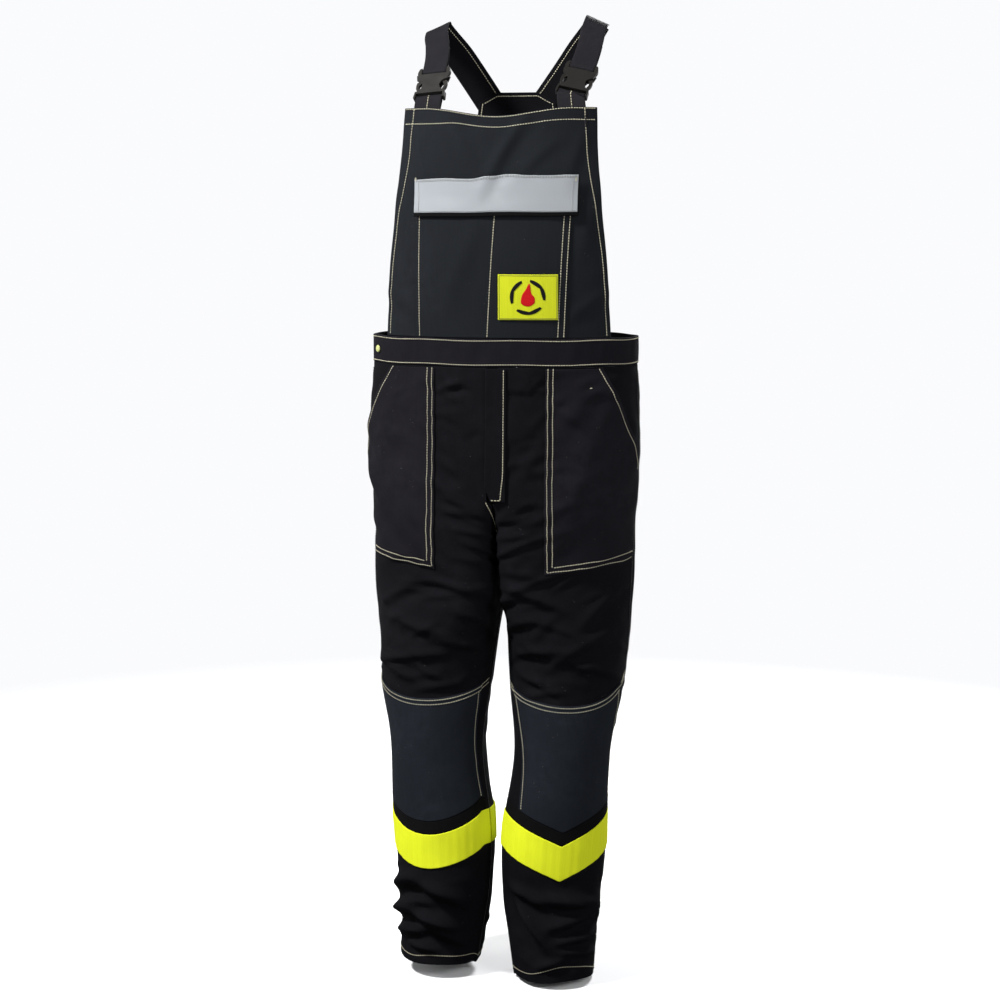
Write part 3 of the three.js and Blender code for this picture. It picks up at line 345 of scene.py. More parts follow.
clothLooks = {
    "blackTwill": {
        "color": linear(10, 10, 13),
        "rubbed": linear(26, 26, 30),
        "threads": 1100.0,
        "roughness": 0.86,
    },
    # a lighter copy of the black twill: painted light on the chest, for the bib, its facing and the chest
    # pocket
    "bibTwill": {
        "color": linear(21, 23, 26),
        "rubbed": linear(37, 40, 44),
        "threads": 1100.0,
        "roughness": 0.86,
    },
    # a lighter copy of the black twill: painted light at the hips, for the hip pockets and the waistband
    "pocketTwill": {
        "color": linear(18, 17, 21),
        "rubbed": linear(37, 36, 41),
        "threads": 1100.0,
        "roughness": 0.86,
    },
    # a darker copy of the black twill: painted shade of the low shins, for the strip above the yellow band;
    # the chest flap uses it as well
    "shinTwill": {
        "color": linear(9, 9, 10),
        "rubbed": linear(23, 23, 24),
        "threads": 1100.0,
        "roughness": 0.86,
    },
    "kneeTwill": {
        "color": linear(22, 25, 30),
        "rubbed": linear(42, 46, 52),
        "threads": 1300.0,
        "roughness": 0.8,
        "wear": 0.35,
    },
    "yellowWeave": {
        "color": linear(196, 204, 34),
        "rubbed": linear(182, 188, 58),
        "threads": 800.0,
        "step": 0.0,
        "contrast": 0.22,
        "slub": 0.12,
        "roughness": 0.75,
        "lint": 0.0,
        "wear": 0.2,
        "sheen": 0.0,
    },
    "badgeWeave": {
        "color": linear(168, 174, 30),
        "rubbed": linear(166, 172, 57),
        "threads": 1500.0,
        "step": 0.0,
        "contrast": 0.18,
        "roughness": 0.6,
        "lint": 0.0,
        "wear": 0.15,
        "crumple": 0.4,
        "sheen": 0.0,
    },
    "redWeave": {
        "color": linear(159, 18, 23),
        "rubbed": linear(130, 32, 32),
        "threads": 1500.0,
        "roughness": 0.6,
        "lint": 0.0,
        "crumple": 0.4,
    },
    "inkWeave": {
        "color": linear(16, 16, 18),
        "rubbed": linear(40, 40, 42),
        "threads": 1500.0,
        "roughness": 0.6,
        "lint": 0.0,
        "crumple": 0.4,
    },
    "greyTape": {
        "color": linear(121, 125, 129),
        "rubbed": linear(112, 116, 120),
        "threads": 1600.0,
        "step": 0.0,
        "contrast": 0.16,
        "roughness": 0.42,
        "lint": 0.0,
        "wear": 0.45,
        "slub": 0.03,
        "crumple": 1.2,
        "crumpleScale": 30,
        "specular": 0.4,
        "sheen": 0.0,
    },
    "strapWeave": {
        "color": linear(24, 23, 26),
        "rubbed": linear(40, 39, 43),
        "threads": 620.0,
        "step": 0.0,
        "contrast": 0.9,
        "roughness": 0.7,
        "crumple": 0.6,
        "bump": 0.6,
        "depth": 0.0005,
    },
    "zipWeave": {
        "color": linear(18, 18, 20),
        "rubbed": linear(36, 36, 39),
        "threads": 1500.0,
        "roughness": 0.85,
    },
    "touchPile": {
        "color": linear(13, 13, 15),
        "rubbed": linear(32, 32, 35),
        "threads": 2200.0,
        "roughness": 0.95,
        "bump": 0.9,
        "depth": 0.0006,
    },
}
materials = {name: clothMaterial(name, look) for name, look in clothLooks.items()}


def hardMaterial(name, look):
    # Moulded plastic and metal: fine grain, worn high spots and uneven gloss.
    material = bpy.data.materials.new(name)
    material.use_nodes = True
    n = Nodes(material.node_tree)
    shader = n.tree.nodes["Principled BSDF"]
    place = n.add("ShaderNodeTexCoord").outputs["Object"]
    wear = placeGroup(
        n,
        wearGroup,
        Vector=place,
        Color=look["color"],
        Rubbed=look["rubbed"],
        Amount=look["wear"],
        Lint=0.0,
        Roughness=look["roughness"],
    )
    n.join(wear["Color"], shader.inputs["Base Color"])
    n.join(wear["Roughness"], shader.inputs["Roughness"])
    grain = n.noise(place, look["grain"], 2.0, 0.6)
    bump = n.add("ShaderNodeBump")
    bump.inputs["Strength"].default_value = 0.4
    bump.inputs["Distance"].default_value = 0.0002
    n.join(grain, bump.inputs["Height"])
    n.join(bump.outputs[0], shader.inputs["Normal"])
    shader.inputs["Metallic"].default_value = look.get("metal", 0.0)
    shader.inputs["Specular IOR Level"].default_value = look.get("specular", 0.5)
    return material


hardLooks = {
    "buckleNylon": {
        "color": linear(24, 23, 21),
        "rubbed": linear(48, 46, 42),
        "wear": 0.4,
        "roughness": 0.42,
        "specular": 0.22,
        "grain": 1800,
    },
    "dullBrass": {
        "color": linear(136, 120, 71),
        "rubbed": linear(97, 84, 49),
        "wear": 0.5,
        "roughness": 0.35,
        "grain": 2600,
        "metal": 1.0,
    },
    "limeEnamel": {
        "color": linear(159, 162, 97),
        "rubbed": linear(122, 122, 73),
        "wear": 0.5,
        "roughness": 0.4,
        "grain": 1500,
    },
}
materials.update({name: hardMaterial(name, look) for name, look in hardLooks.items()})


def threadMaterial(name, color):
    material = bpy.data.materials.new(name)
    material.use_nodes = True
    n = Nodes(material.node_tree)
    shader = n.tree.nodes["Principled BSDF"]
    place = n.add("ShaderNodeTexCoord").outputs["Object"]
    wear = placeGroup(
        n,
        wearGroup,
        Vector=place,
        Color=color,
        Rubbed=tuple(0.55 * c for c in color[:3]) + (1,),
        Amount=0.8,
        Lint=0.0,
        Roughness=0.65,
    )
    n.join(wear["Color"], shader.inputs["Base Color"])
    n.join(wear["Roughness"], shader.inputs["Roughness"])
    twist = n.noise(place, 2200, 1.0)
    bump = n.add("ShaderNodeBump")
    bump.inputs["Strength"].default_value = 0.5
    bump.inputs["Distance"].default_value = 0.0002
    n.join(twist, bump.inputs["Height"])
    n.join(bump.outputs[0], shader.inputs["Normal"])
    return material


materials["creamThread"] = threadMaterial("creamThread", linear(167, 162, 139))
materials["greyThread"] = threadMaterial("greyThread", linear(122, 123, 122))
materials["darkThread"] = threadMaterial("darkThread", linear(28, 27, 31))
print("materials are made")

# the cut shapes


def through(*pairs):
    # A smooth curve through (place, value) pairs.
    places = np.array([p for p, _ in pairs], float)
    values = np.array([v for _, v in pairs], float)
    last = len(pairs) - 1
    slopes = np.array(
        [
            (values[min(i + 1, last)] - values[max(i - 1, 0)])
            / (places[min(i + 1, last)] - places[max(i - 1, 0)])
            for i in range(last + 1)
        ]
    )

    def at(where):
        p = np.clip(np.asarray(where, float), places[0], places[-1])
        i = np.clip(np.searchsorted(places, p) - 1, 0, last - 1)
        span = places[i + 1] - places[i]
        t = (p - places[i]) / span
        return (
            (2 * t**3 - 3 * t**2 + 1) * values[i]
            + (t**3 - 2 * t**2 + t) * span * slopes[i]
            + (3 * t**2 - 2 * t**3) * values[i + 1]
            + (t**3 - t**2) * span * slopes[i + 1]
        )

    return at


def blendStep(value, low, high):
    t = np.clip((np.asarray(value, float) - low) / (high - low), 0, 1)
    return t * t * (3 - 2 * t)


body = {
    "cloth": 0.002,
    "crotch": 0.660,
    "knee": 0.370,
    "waistHalfWidth": 0.217,
    "waistHalfDepth": 0.115,
    "hemHalfWidth": 0.066,
    "kneeHalfWidth": 0.079,
    "toeOut": math.radians(17),
    "flyLength": 0.214,
    "waistbandHeight": 0.045,
}
crotch = body["crotch"]
notchTop = waistZ - body["flyLength"] - 0.004
kneeShare = body["knee"] / crotch


def between(low, high, t):
    return low + (high - low) * t


halfWidth, halfDepth = body["waistHalfWidth"], body["waistHalfDepth"]
hipWidth = through(
    (crotch, halfWidth + 0.001),
    (between(crotch, waistZ, 0.2), halfWidth),
    (between(crotch, waistZ, 0.62), halfWidth + 0.005),
    (waistZ, halfWidth),
)
frontDepth = through(
    (crotch, halfDepth + 0.003),
    (notchTop, halfDepth + 0.009),
    (between(notchTop, waistZ, 0.5), halfDepth + 0.0045),
    (waistZ, halfDepth),
)
backDepth = through(
    (crotch, halfDepth - 0.007),
    (between(crotch, waistZ, 0.3), halfDepth + 0.008),
    (between(crotch, waistZ, 0.65), halfDepth + 0.014),
    (waistZ, halfDepth),
)
legX = through((0, 0.092), (0.19, 0.087), (0.38, 0.092), (kneeShare, 0.102), (0.73, 0.108), (1, 0.109))
legY = through((0, -0.057), (0.19, -0.050), (0.38, -0.044), (kneeShare, -0.036), (0.73, -0.022), (1, -0.008))
legHalfWidth = through(
    (0, body["hemHalfWidth"]),
    (0.1, body["hemHalfWidth"] + 0.006),
    (0.2, body["hemHalfWidth"] + 0.014),
    (0.36, body["kneeHalfWidth"] + 0.007),
    (kneeShare, body["kneeHalfWidth"]),
    (0.73, body["kneeHalfWidth"] + 0.015),
    (1, halfWidth / 2 - 0.001),
)
legHalfDepth = through(
    (0, 0.072), (0.19, 0.074), (0.38, 0.074), (kneeShare, 0.075), (0.73, 0.084), (1, 0.112),
)
legTurn = through((0, body["toeOut"]), (kneeShare, body["toeOut"]), (0.8, 0.6 * body["toeOut"]), (1, 0))
stance = {
    "left": {"side": 1, "lift": 0.0, "forward": 0.012, "out": 0.002},
    "right": {"side": -1, "lift": 0.012, "forward": 0.0, "out": 0.006},
}
tableRows, tableCols = 337, 193


def halfOutline(z):
    a, front, back = float(hipWidth(z)), float(frontDepth(z)), float(backDepth(z))
    opened = min(max((z - crotch) / (notchTop - crotch), 0), 1)
    rounding = 0.046 * (1 - opened) ** 0.6
    inner = between(0.0015, 0.00015, opened)
    x1 = inner + rounding

    def rim(b):
        return b * math.sqrt(1 - (x1 / a) ** 2)

    def end(b, sign):
        reach = (rim(b) - rounding) * (1 - (1 - opened) ** 1.4)
        wall = [(inner, sign * between(reach, rim(b) - rounding, k / 12)) for k in range(12)]
        turn = []
        for k in range(9):
            t = k / 8 * math.pi / 2
            turn.append((x1 - rounding * math.cos(t), sign * (rim(b) - rounding + rounding * math.sin(t))))
        return wall + turn

    start = math.asin(x1 / a)
    t = between(start, math.pi - start, np.arange(1, 120) / 120)
    b = np.where(t < math.pi / 2, front, back)
    middle = np.stack([a * np.sin(t), -b * np.cos(t)], 1)
    return np.concatenate([end(front, -1), middle, end(back, 1)[::-1]])


def evenSteps(points, count):
    along = np.concatenate([[0], np.cumsum(np.linalg.norm(np.diff(points, axis=0), axis=1))])
    want = np.linspace(0, along[-1], count)
    return np.stack([np.interp(want, along, points[:, k]) for k in range(points.shape[1])], 1)


def legSection(z):
    top = evenSteps(halfOutline(max(z, crotch)), tableCols)
    if z >= crotch:
        return top
    q = z / crotch
    melt = float(blendStep(1 - q, 0, 0.24))
    turn = float(legTurn(q))
    t = 2 * math.pi * np.arange(tableCols) / (tableCols - 1)
    u, v = -legHalfWidth(q) * np.cos(t), -legHalfDepth(q) * np.sin(t)
    oval = np.stack(
        [
            legX(q) + u * math.cos(turn) - v * math.sin(turn),
            legY(q) + u * math.sin(turn) + v * math.cos(turn),
        ],
        1,
    )
    shrink = legHalfWidth(q) / legHalfWidth(1)
    lobe = np.stack([legX(q) + (top[:, 0] - legX(1)) * shrink, top[:, 1] + legY(q) - legY(1)], 1)
    return between(lobe, oval, melt)


def blurRows(values, width):
    # A running average down the rows, three times over, which leaves the two ends where they are.
    for _ in range(3):
        padded = np.concatenate([values[:1].repeat(width, 0), values, values[-1:].repeat(width, 0)])
        total = np.cumsum(np.concatenate([np.zeros_like(padded[:1]), padded]), 0)
        values = (total[2 * width + 1 :] - total[: -2 * width - 1]) / (2 * width + 1)
    return values


rowHeights = np.linspace(0, waistZ, tableRows)
colShares = np.linspace(0, 1, tableCols)
sections = np.stack([legSection(z) for z in rowHeights])
smoothSections = blurRows(sections, 4)
nearCrotch = blendStep(rowHeights, crotch - 0.13, crotch - 0.06) * (
    1 - blendStep(rowHeights, notchTop - 0.02, notchTop + 0.03)
)
sections = between(sections, smoothSections, nearCrotch[:, None, None])


def shareAt(x, z):
    # How far round the leg the front of the hips is x away from the middle.
    z = np.asarray(z, float)
    rows = np.clip(np.round(z / waistZ * (tableRows - 1)).astype(int), 0, tableRows - 1)
    quarter = tableCols // 2
    found = [
        np.interp(
            x, np.maximum.accumulate(sections[r, :quarter, 0]), colShares[:quarter],
        ) for r in rows.ravel()
    ]
    return np.array(found).reshape(z.shape)


# folds in the cloth


def valueNoise(rng, rows, cols, shape):
    grid = rng.uniform(-1, 1, (rows + 2, cols + 2))
    y = np.linspace(0, rows, shape[0])[:, None] + np.zeros(shape)
    x = np.linspace(0, cols, shape[1])[None, :] + np.zeros(shape)
    i, j = y.astype(int), x.astype(int)
    fy, fx = blendStep(y - i, 0, 1), blendStep(x - j, 0, 1)
    top = between(grid[i, j], grid[i, j + 1], fx)
    return between(top, between(grid[i + 1, j], grid[i + 1, j + 1], fx), fy)


def crease(across, up, at, angle, length, width, depth):
    # One fold: a ridge that fades out at both ends and has a softer hollow on its lower side.
    dx, dz = across - at[0], up - at[1]
    along = dx * math.cos(angle) + dz * math.sin(angle)
    side = -dx * math.sin(angle) + dz * math.cos(angle)
    side = side + 0.18 * along**2 / length
    reach = np.clip(1 - (along / (length / 2)) ** 2, 0, 1) ** 1.5
    ridge = np.exp(-((side / width) ** 2)) - 0.55 * np.exp(-(((side + 1.7 * width) / (1.5 * width)) ** 2))
    return depth * reach * ridge


# Each line is one fold on the front of a leg: how far round it lies, its height, its tilt in degrees (rising
# towards the side seam), its length, its width and its depth.
foldPlans = {
    "left": {
        "seed": 5,
        "front": [
            (0.30, 0.140, -8, 0.16, 0.011, 0.0050),
            (0.33, 0.112, 10, 0.15, 0.010, 0.0058),
            (0.34, 0.080, 4, 0.13, 0.010, 0.0060),
            (0.33, 0.052, -6, 0.12, 0.009, 0.0052),
            (0.15, 0.105, -52, 0.15, 0.010, 0.0052),
            (0.13, 0.150, -20, 0.10, 0.009, 0.0036),
            (0.24, 0.036, 8, 0.10, 0.008, 0.0034),
            (0.10, 0.620, 34, 0.15, 0.006, 0.0028),
            (0.11, 0.585, 22, 0.15, 0.006, 0.0026),
            (0.13, 0.545, 12, 0.16, 0.007, 0.0026),
            (0.12, 0.505, -14, 0.13, 0.007, 0.0022),
            (0.30, 0.560, 28, 0.14, 0.008, 0.0026),
            (0.33, 0.520, -22, 0.12, 0.008, 0.0022),
            (0.22, 0.640, -30, 0.12, 0.007, 0.0022),
            (0.37, 0.620, 46, 0.13, 0.008, 0.0020),
            (0.08, 0.700, 30, 0.09, 0.005, 0.0022),
            (0.09, 0.735, 14, 0.08, 0.005, 0.0018),
            (0.08, 0.765, -4, 0.07, 0.005, 0.0014),
            (0.16, 0.480, 14, 0.10, 0.006, 0.0018),
            (0.11, 0.860, 62, 0.11, 0.008, 0.0013),
            (0.22, 0.930, -34, 0.07, 0.006, 0.0010),
        ],
    },
    "right": {
        "seed": 11,
        "front": [
            (0.36, 0.142, -26, 0.14, 0.011, 0.0052),
            (0.20, 0.138, 20, 0.14, 0.011, 0.0048),
            (0.28, 0.118, -4, 0.10, 0.009, 0.0036),
            (0.38, 0.094, -20, 0.13, 0.011, 0.0062),
            (0.22, 0.088, 16, 0.15, 0.010, 0.0060),
            (0.33, 0.060, -14, 0.13, 0.010, 0.0050),
            (0.16, 0.058, 24, 0.11, 0.009, 0.0044),
            (0.27, 0.034, 6, 0.12, 0.008, 0.0034),
            (0.09, 0.625, 40, 0.14, 0.006, 0.0028),
            (0.10, 0.590, 28, 0.14, 0.006, 0.0026),
            (0.12, 0.550, 18, 0.15, 0.007, 0.0024),
            (0.30, 0.585, 16, 0.15, 0.008, 0.0026),
            (0.27, 0.535, -12, 0.14, 0.008, 0.0024),
            (0.34, 0.510, 20, 0.12, 0.008, 0.0022),
            (0.36, 0.640, -36, 0.12, 0.007, 0.0020),
            (0.20, 0.650, 22, 0.12, 0.006, 0.0022),
            (0.08, 0.705, 34, 0.10, 0.005, 0.0024),
            (0.09, 0.740, 18, 0.09, 0.005, 0.0020),
            (0.10, 0.775, 4, 0.08, 0.005, 0.0016),
            (0.18, 0.485, -10, 0.11, 0.006, 0.0018),
            (0.12, 0.870, 64, 0.11, 0.008, 0.0013),
        ],
    },
}
legGirth = 0.5  # about the length once round a leg
foldDepth = 3.0


def legFolds(which):
    rng = np.random.default_rng(foldPlans[which]["seed"])
    shape = (tableRows, tableCols)
    s = colShares[None, :] + np.zeros(shape)
    z = rowHeights[:, None] + np.zeros(shape)
    across = s * legGirth
    folds = 0.0036 * valueNoise(rng, 7, 5, shape) + 0.0022 * valueNoise(rng, 20, 11, shape)
    folds += 0.0009 * valueNoise(rng, 54, 26, shape)

    def scatter(count, placeS, placeZ, angles, lengths, widths, depths):
        total = np.zeros(shape)
        for _ in range(count):
            at = (rng.uniform(*placeS) * legGirth, rng.uniform(*placeZ))
            angle = math.radians(rng.uniform(*angles))
            total += crease(
                across, z, at, angle, rng.uniform(*lengths), rng.uniform(*widths), rng.uniform(*depths),
            )
        return total

    # small creases over the thigh, and drag lines that fan out from the crotch behind
    folds += scatter(
        34, (0.05, 0.45), (0.48, 0.70), (-40, 50), (0.035, 0.09), (0.0035, 0.006), (0.0014, 0.0040),
    )
    folds += scatter(
        12, (0.06, 0.44), (0.03, 0.165), (-30, 30), (0.03, 0.07), (0.004, 0.006), (0.0008, 0.0020),
    )
    folds += scatter(
        9, (0.03, 0.16), (0.965, 0.99), (-60, 60), (0.03, 0.06), (0.003, 0.005), (0.0014, 0.0030),
    )
    folds += scatter(9, (0.05, 0.17), (0.80, 0.94), (-35, 55), (0.04, 0.09), (0.005, 0.009), (0.0012, 0.0030))
    folds += scatter(9, (0.22, 0.46), (0.70, 0.95), (35, 80), (0.09, 0.20), (0.010, 0.017), (0.0014, 0.0034))
    folds += scatter(8, (0.03, 0.2), (0.67, 0.80), (-10, 50), (0.05, 0.10), (0.005, 0.008), (0.0016, 0.0040))
    folds += scatter(8, (0.8, 0.95), (0.58, 0.74), (-42, -8), (0.08, 0.15), (0.005, 0.010), (0.0015, 0.0032))
    folds += scatter(6, (0.55, 0.9), (0.48, 0.64), (-20, 20), (0.09, 0.17), (0.008, 0.013), (0.0015, 0.003))
    # the bend behind the knee, and its pull at both seams
    folds += scatter(9, (0.58, 0.92), (0.33, 0.48), (-12, 12), (0.10, 0.18), (0.007, 0.011), (0.002, 0.0042))
    folds += scatter(4, (0.47, 0.56), (0.36, 0.52), (-30, 30), (0.05, 0.08), (0.006, 0.009), (0.0012, 0.0024))
    # cloth stacked above the hem, at the back and the sides
    for level in range(6):
        tilt = 16 if level % 2 else -14
        for start in (0.48, 0.62, 0.82):
            at = (
                (start + rng.uniform(-0.05, 0.05)) * legGirth,
                0.036 + 0.025 * level + rng.uniform(-0.005, 0.005),
            )
            angle = math.radians(tilt + rng.uniform(-8, 8))
            depth = rng.uniform(0.003, 0.0056) * (0.5 if start < 0.5 else 1)
            folds += crease(across, z, at, angle, rng.uniform(0.09, 0.17), rng.uniform(0.0075, 0.0105), depth)
    for share, height, tilt, length, width, depth in foldPlans[which]["front"]:
        folds += crease(
            across, z, (share * legGirth, height), math.radians(tilt), length, width, foldDepth * depth,
        )
    # under the waistband the cloth is eased in
    folds += scatter(
        8, (0.03, 0.34), (0.955, 0.99), (-30, 30), (0.03, 0.06), (0.004, 0.006), (0.0010, 0.0022),
    )
    folds += scatter(5, (0.05, 0.3), (0.80, 0.93), (30, 75), (0.07, 0.14), (0.009, 0.014), (0.0006, 0.0014))
    # near the side seam the shin only swells softly
    onSide = np.exp(-(((s - 0.5) / 0.09) ** 2)) * (1 - blendStep(z, 0.15, 0.2))
    folds = folds * (1 - 0.65 * onSide)
    # patches and bands hold the cloth flatter
    onKnee = blendStep(z, 0.255, 0.285) * (
        1 - blendStep(z, 0.45, 0.49)
    ) * (1 - blendStep(s, 0.44, 0.5)) * blendStep(s, 0.02, 0.08)
    onBand = blendStep(z, 0.165, 0.19) * (1 - blendStep(z, 0.25, 0.28))
    folds *= (1 - 0.72 * onKnee) * (1 - 0.55 * onBand)
    # seams and edges stay put: the hem, the waist, the inseam, the seat seam and the side seam
    folds *= between(0.35, 1, blendStep(z, 0, 0.03)) * (1 - blendStep(z, waistZ - 0.020, waistZ - 0.004))
    folds *= blendStep(np.minimum(s, 1 - s), 0, 0.05)
    folds *= between(0.5, 1, blendStep(np.abs(s - 0.5), 0, 0.03))
    # two legs touch between knee and crotch, so nothing swells there
    facing = (1 - blendStep(np.minimum(s, 1 - s), 0.06, 0.16)) * blendStep(z, 0.12, 0.5)
    return np.where(folds > 0, folds * (1 - 0.9 * facing), folds)


def slopeAcross(table, wrapBelow):
    # The step round the leg; below the crotch the leg closes on itself.
    wrapped = np.concatenate([table[:, -2:-1], table, table[:, 1:2]], 1)
    closedStep = wrapped[:, 2:] - wrapped[:, :-2]
    openStep = np.gradient(table, axis=1) * 2
    return np.where(wrapBelow[:, None, None], closedStep, openStep)


def unit(vectors):
    return vectors / np.maximum(np.linalg.norm(vectors, axis=-1, keepdims=True), 1e-12)


# How each hem hangs: it is lifted in front, where it rests on the foot.
hemHang = {
    "left": {"wave": 0.0022, "phase": 0.30, "rise": 0.006, "at": 0.25, "all": 0.003},
    "right": {"wave": 0.0026, "phase": 0.75, "rise": 0.007, "at": 0.40, "all": 0.006},
}


def legTables(which):
    place = stance[which]
    flat = np.concatenate(
        [sections, np.broadcast_to(rowHeights[:, None, None], (tableRows, tableCols, 1))], 2,
    )
    below = rowHeights < crotch + 0.001
    normal = unit(np.cross(slopeAcross(flat, below), np.gradient(flat, axis=0)))
    cloth = flat + normal * legFolds(which)[..., None]
    # the hem hangs unevenly
    hang = hemHang[which]
    wave = hang["wave"] * np.sin(2 * math.pi * (colShares * 3 + hang["phase"]))
    wave = wave + hang["all"] + hang["rise"] * np.exp(-(((colShares - hang["at"]) / 0.17) ** 2))
    cloth[..., 2] += wave[None, :] * (1 - blendStep(rowHeights, 0, 0.09))[:, None] * blendStep(
        colShares * (1 - colShares), 0, 0.02,
    )[None, :]
    cloth[..., 2] = np.maximum(cloth[..., 2], 0.0)
    normal = unit(np.cross(slopeAcross(cloth, below), np.gradient(cloth, axis=0)))
    fade = np.maximum(0, 1 - rowHeights / crotch) ** 1.3
    cloth[..., 0] = place["side"] * (cloth[..., 0] + (place["out"] * fade)[:, None])
    cloth[..., 1] -= (place["forward"] * fade)[:, None]
    cloth[..., 2] += (place["lift"] * fade)[:, None]
    normal[..., 0] *= place["side"]
    return cloth, normal


legCloth = {which: legTables(which) for which in sides}


def readTable(table, s, z):
    a = np.clip(s, 0, 1) * (tableCols - 1)
    b = np.clip(z / waistZ, 0, 1) * (tableRows - 1)
    i = np.minimum(a.astype(int), tableCols - 2)
    j = np.minimum(b.astype(int), tableRows - 2)
    fa, fb = (a - i)[..., None], (b - j)[..., None]
    low = between(table[j, i], table[j, i + 1], fa)
    return between(low, between(table[j + 1, i], table[j + 1, i + 1], fa), fb)


def legSurface(which):
    # Gives place and outward direction for s (round the leg) and z (up it).
    points, normals = legCloth[which]

    def surface(s, z):
        s, z = np.broadcast_arrays(np.asarray(s, float), np.asarray(z, float))
        return readTable(points, s, z) + origin, unit(readTable(normals, s, z))

    return surface


print("leg shapes are ready")

# cloth pieces


def stops(length, step, edge=(0.0005, 0.0013, 0.0026)):
    # Places from 0 to 1, close together at both edges so that they can be rounded.
    count = max(2, round(length / step))
    inner = np.linspace(edge[-1] / length, 1 - edge[-1] / length, count)
    low = [0.0] + [e / length for e in edge[:-1]]
    return np.concatenate([low, inner, [1 - x for x in reversed(low)]])


def gridLengths(points):
    rows = np.linalg.norm(np.diff(points, axis=0), axis=2)
    cols = np.linalg.norm(np.diff(points, axis=1), axis=2)
    u = np.concatenate([np.zeros((1, points.shape[1])), np.cumsum(rows, 0)])
    v = np.concatenate([np.zeros((points.shape[0], 1)), np.cumsum(cols, 1)], 1)
    return u, v


def linkMesh(name, vertices, faces, uvs, materialNames, faceMaterials=None):
    mesh = bpy.data.meshes.new(name)
    mesh.from_pydata(vertices.tolist(), [], faces.tolist() if isinstance(faces, np.ndarray) else faces)
    for each in [materialNames] if isinstance(materialNames, str) else materialNames:
        mesh.materials.append(materials[each])
    if uvs is not None:
        layer = mesh.uv_layers.new(name="clothUv")
        index = np.zeros(len(mesh.loops), np.int32)
        mesh.loops.foreach_get("vertex_index", index)
        layer.data.foreach_set("uv", uvs[index].astype(np.float32).ravel())
    if faceMaterials is not None:
        mesh.polygons.foreach_set("material_index", faceMaterials.astype(np.int32))
    mesh.polygons.foreach_set("use_smooth", np.ones(len(mesh.polygons), bool))
    mesh.update()
    made = bpy.data.objects.new(name, mesh)
    scene.collection.objects.link(made)
    return made


def clothPiece(name, points, normals, low, thickness, material, puff=None, flip=False, liningLift=0.0):
    # A closed piece of cloth over a grid of points: its inner face lies low above them. The edge is rounded.
    columns, rows = points.shape[:2]
    u, v = gridLengths(points)
    edge = np.minimum(np.minimum(u, u[-1:] - u), np.minimum(v, v[:, -1:] - v))
    radius = 0.55 * thickness
    profile = np.sqrt(np.clip(1 - (1 - np.minimum(edge / radius, 1)) ** 2, 0, 1))
    middle = low + thickness / 2
    swell = np.zeros_like(edge) if puff is None else puff
    outer = points + normals * (middle + profile * thickness / 2 + swell)[..., None]
    inner = points + normals * (middle - profile * thickness / 2 + swell * liningLift)[..., None]
    total = columns * rows
    index = np.arange(total).reshape(columns, rows)
    border = np.zeros((columns, rows), bool)
    border[[0, -1], :] = True
    border[:, [0, -1]] = True
    back = np.full((columns, rows), -1)
    back[~border] = total + np.arange((~border).sum())
    back[border] = index[border]
    vertices = np.concatenate([outer.reshape(-1, 3), inner[~border]])
    uvs = np.concatenate([np.stack([u, v], 2).reshape(-1, 2), np.stack([u, v], 2)[~border]])

    def quads(i, order):
        a, b, c, d = i[:-1, :-1], i[1:, :-1], i[1:, 1:], i[:-1, 1:]
        return np.stack([x.ravel() for x in ((a, b, c, d) if order else (a, d, c, b))], 1)

    faces = np.concatenate([quads(index, not flip), quads(back, flip)])
    return linkMesh(name, vertices, faces, uvs, material)


def ringPiece(name, rings, material, flip=False):
    # A closed band: a list of loops, joined each to the next and the last to the first.
    loops, count = len(rings), rings[0].shape[0]
    index = np.arange(loops * count).reshape(loops, count)
    a, b = index, np.roll(index, -1, 0)
    c, d = np.roll(b, -1, 1), np.roll(a, -1, 1)
    faces = np.stack([x.ravel() for x in ((a, b, c, d) if flip else (a, d, c, b))], 1)
    points = np.concatenate(rings)
    around = np.linspace(0, 0.45, count)
    uvs = np.concatenate([np.stack([around, np.full(count, 0.013 * k)], 1) for k in range(loops)])
    return linkMesh(name, points, faces, uvs, material)


def settle(piece, bodyName, nodes=(), flat=None):
    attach(piece, bodyName)
    if nodes:
        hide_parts(*nodes)
    return piece


def overGrid(surface, first, last, foot, top, us, vs):
    # Points between two side edges (places round the piece for a height) and two level edges.
    u, v = us[:, None] + 0 * vs[None, :], vs[None, :] + 0 * us[:, None]
    s = np.full_like(u, 0.25)
    for _ in range(4):
        z = between(foot(s), top(s), v)
        s = between(first(z), last(z), u)
    points, normals = surface(s, z)
    return points, normals, s, z


def fixed(value):
    return lambda given: np.full_like(np.asarray(given, float), value)


# stitching

stitchLook = {"pitch": 0.0042, "share": 0.84, "radius": 0.00078}
stitchRows = {}


def stitch(group, points, normals, lift=0.0002):
    # Keeps a row of stitches for one of the stitching pieces.
    stitchRows.setdefault(group, []).append((points + normals * lift, normals))


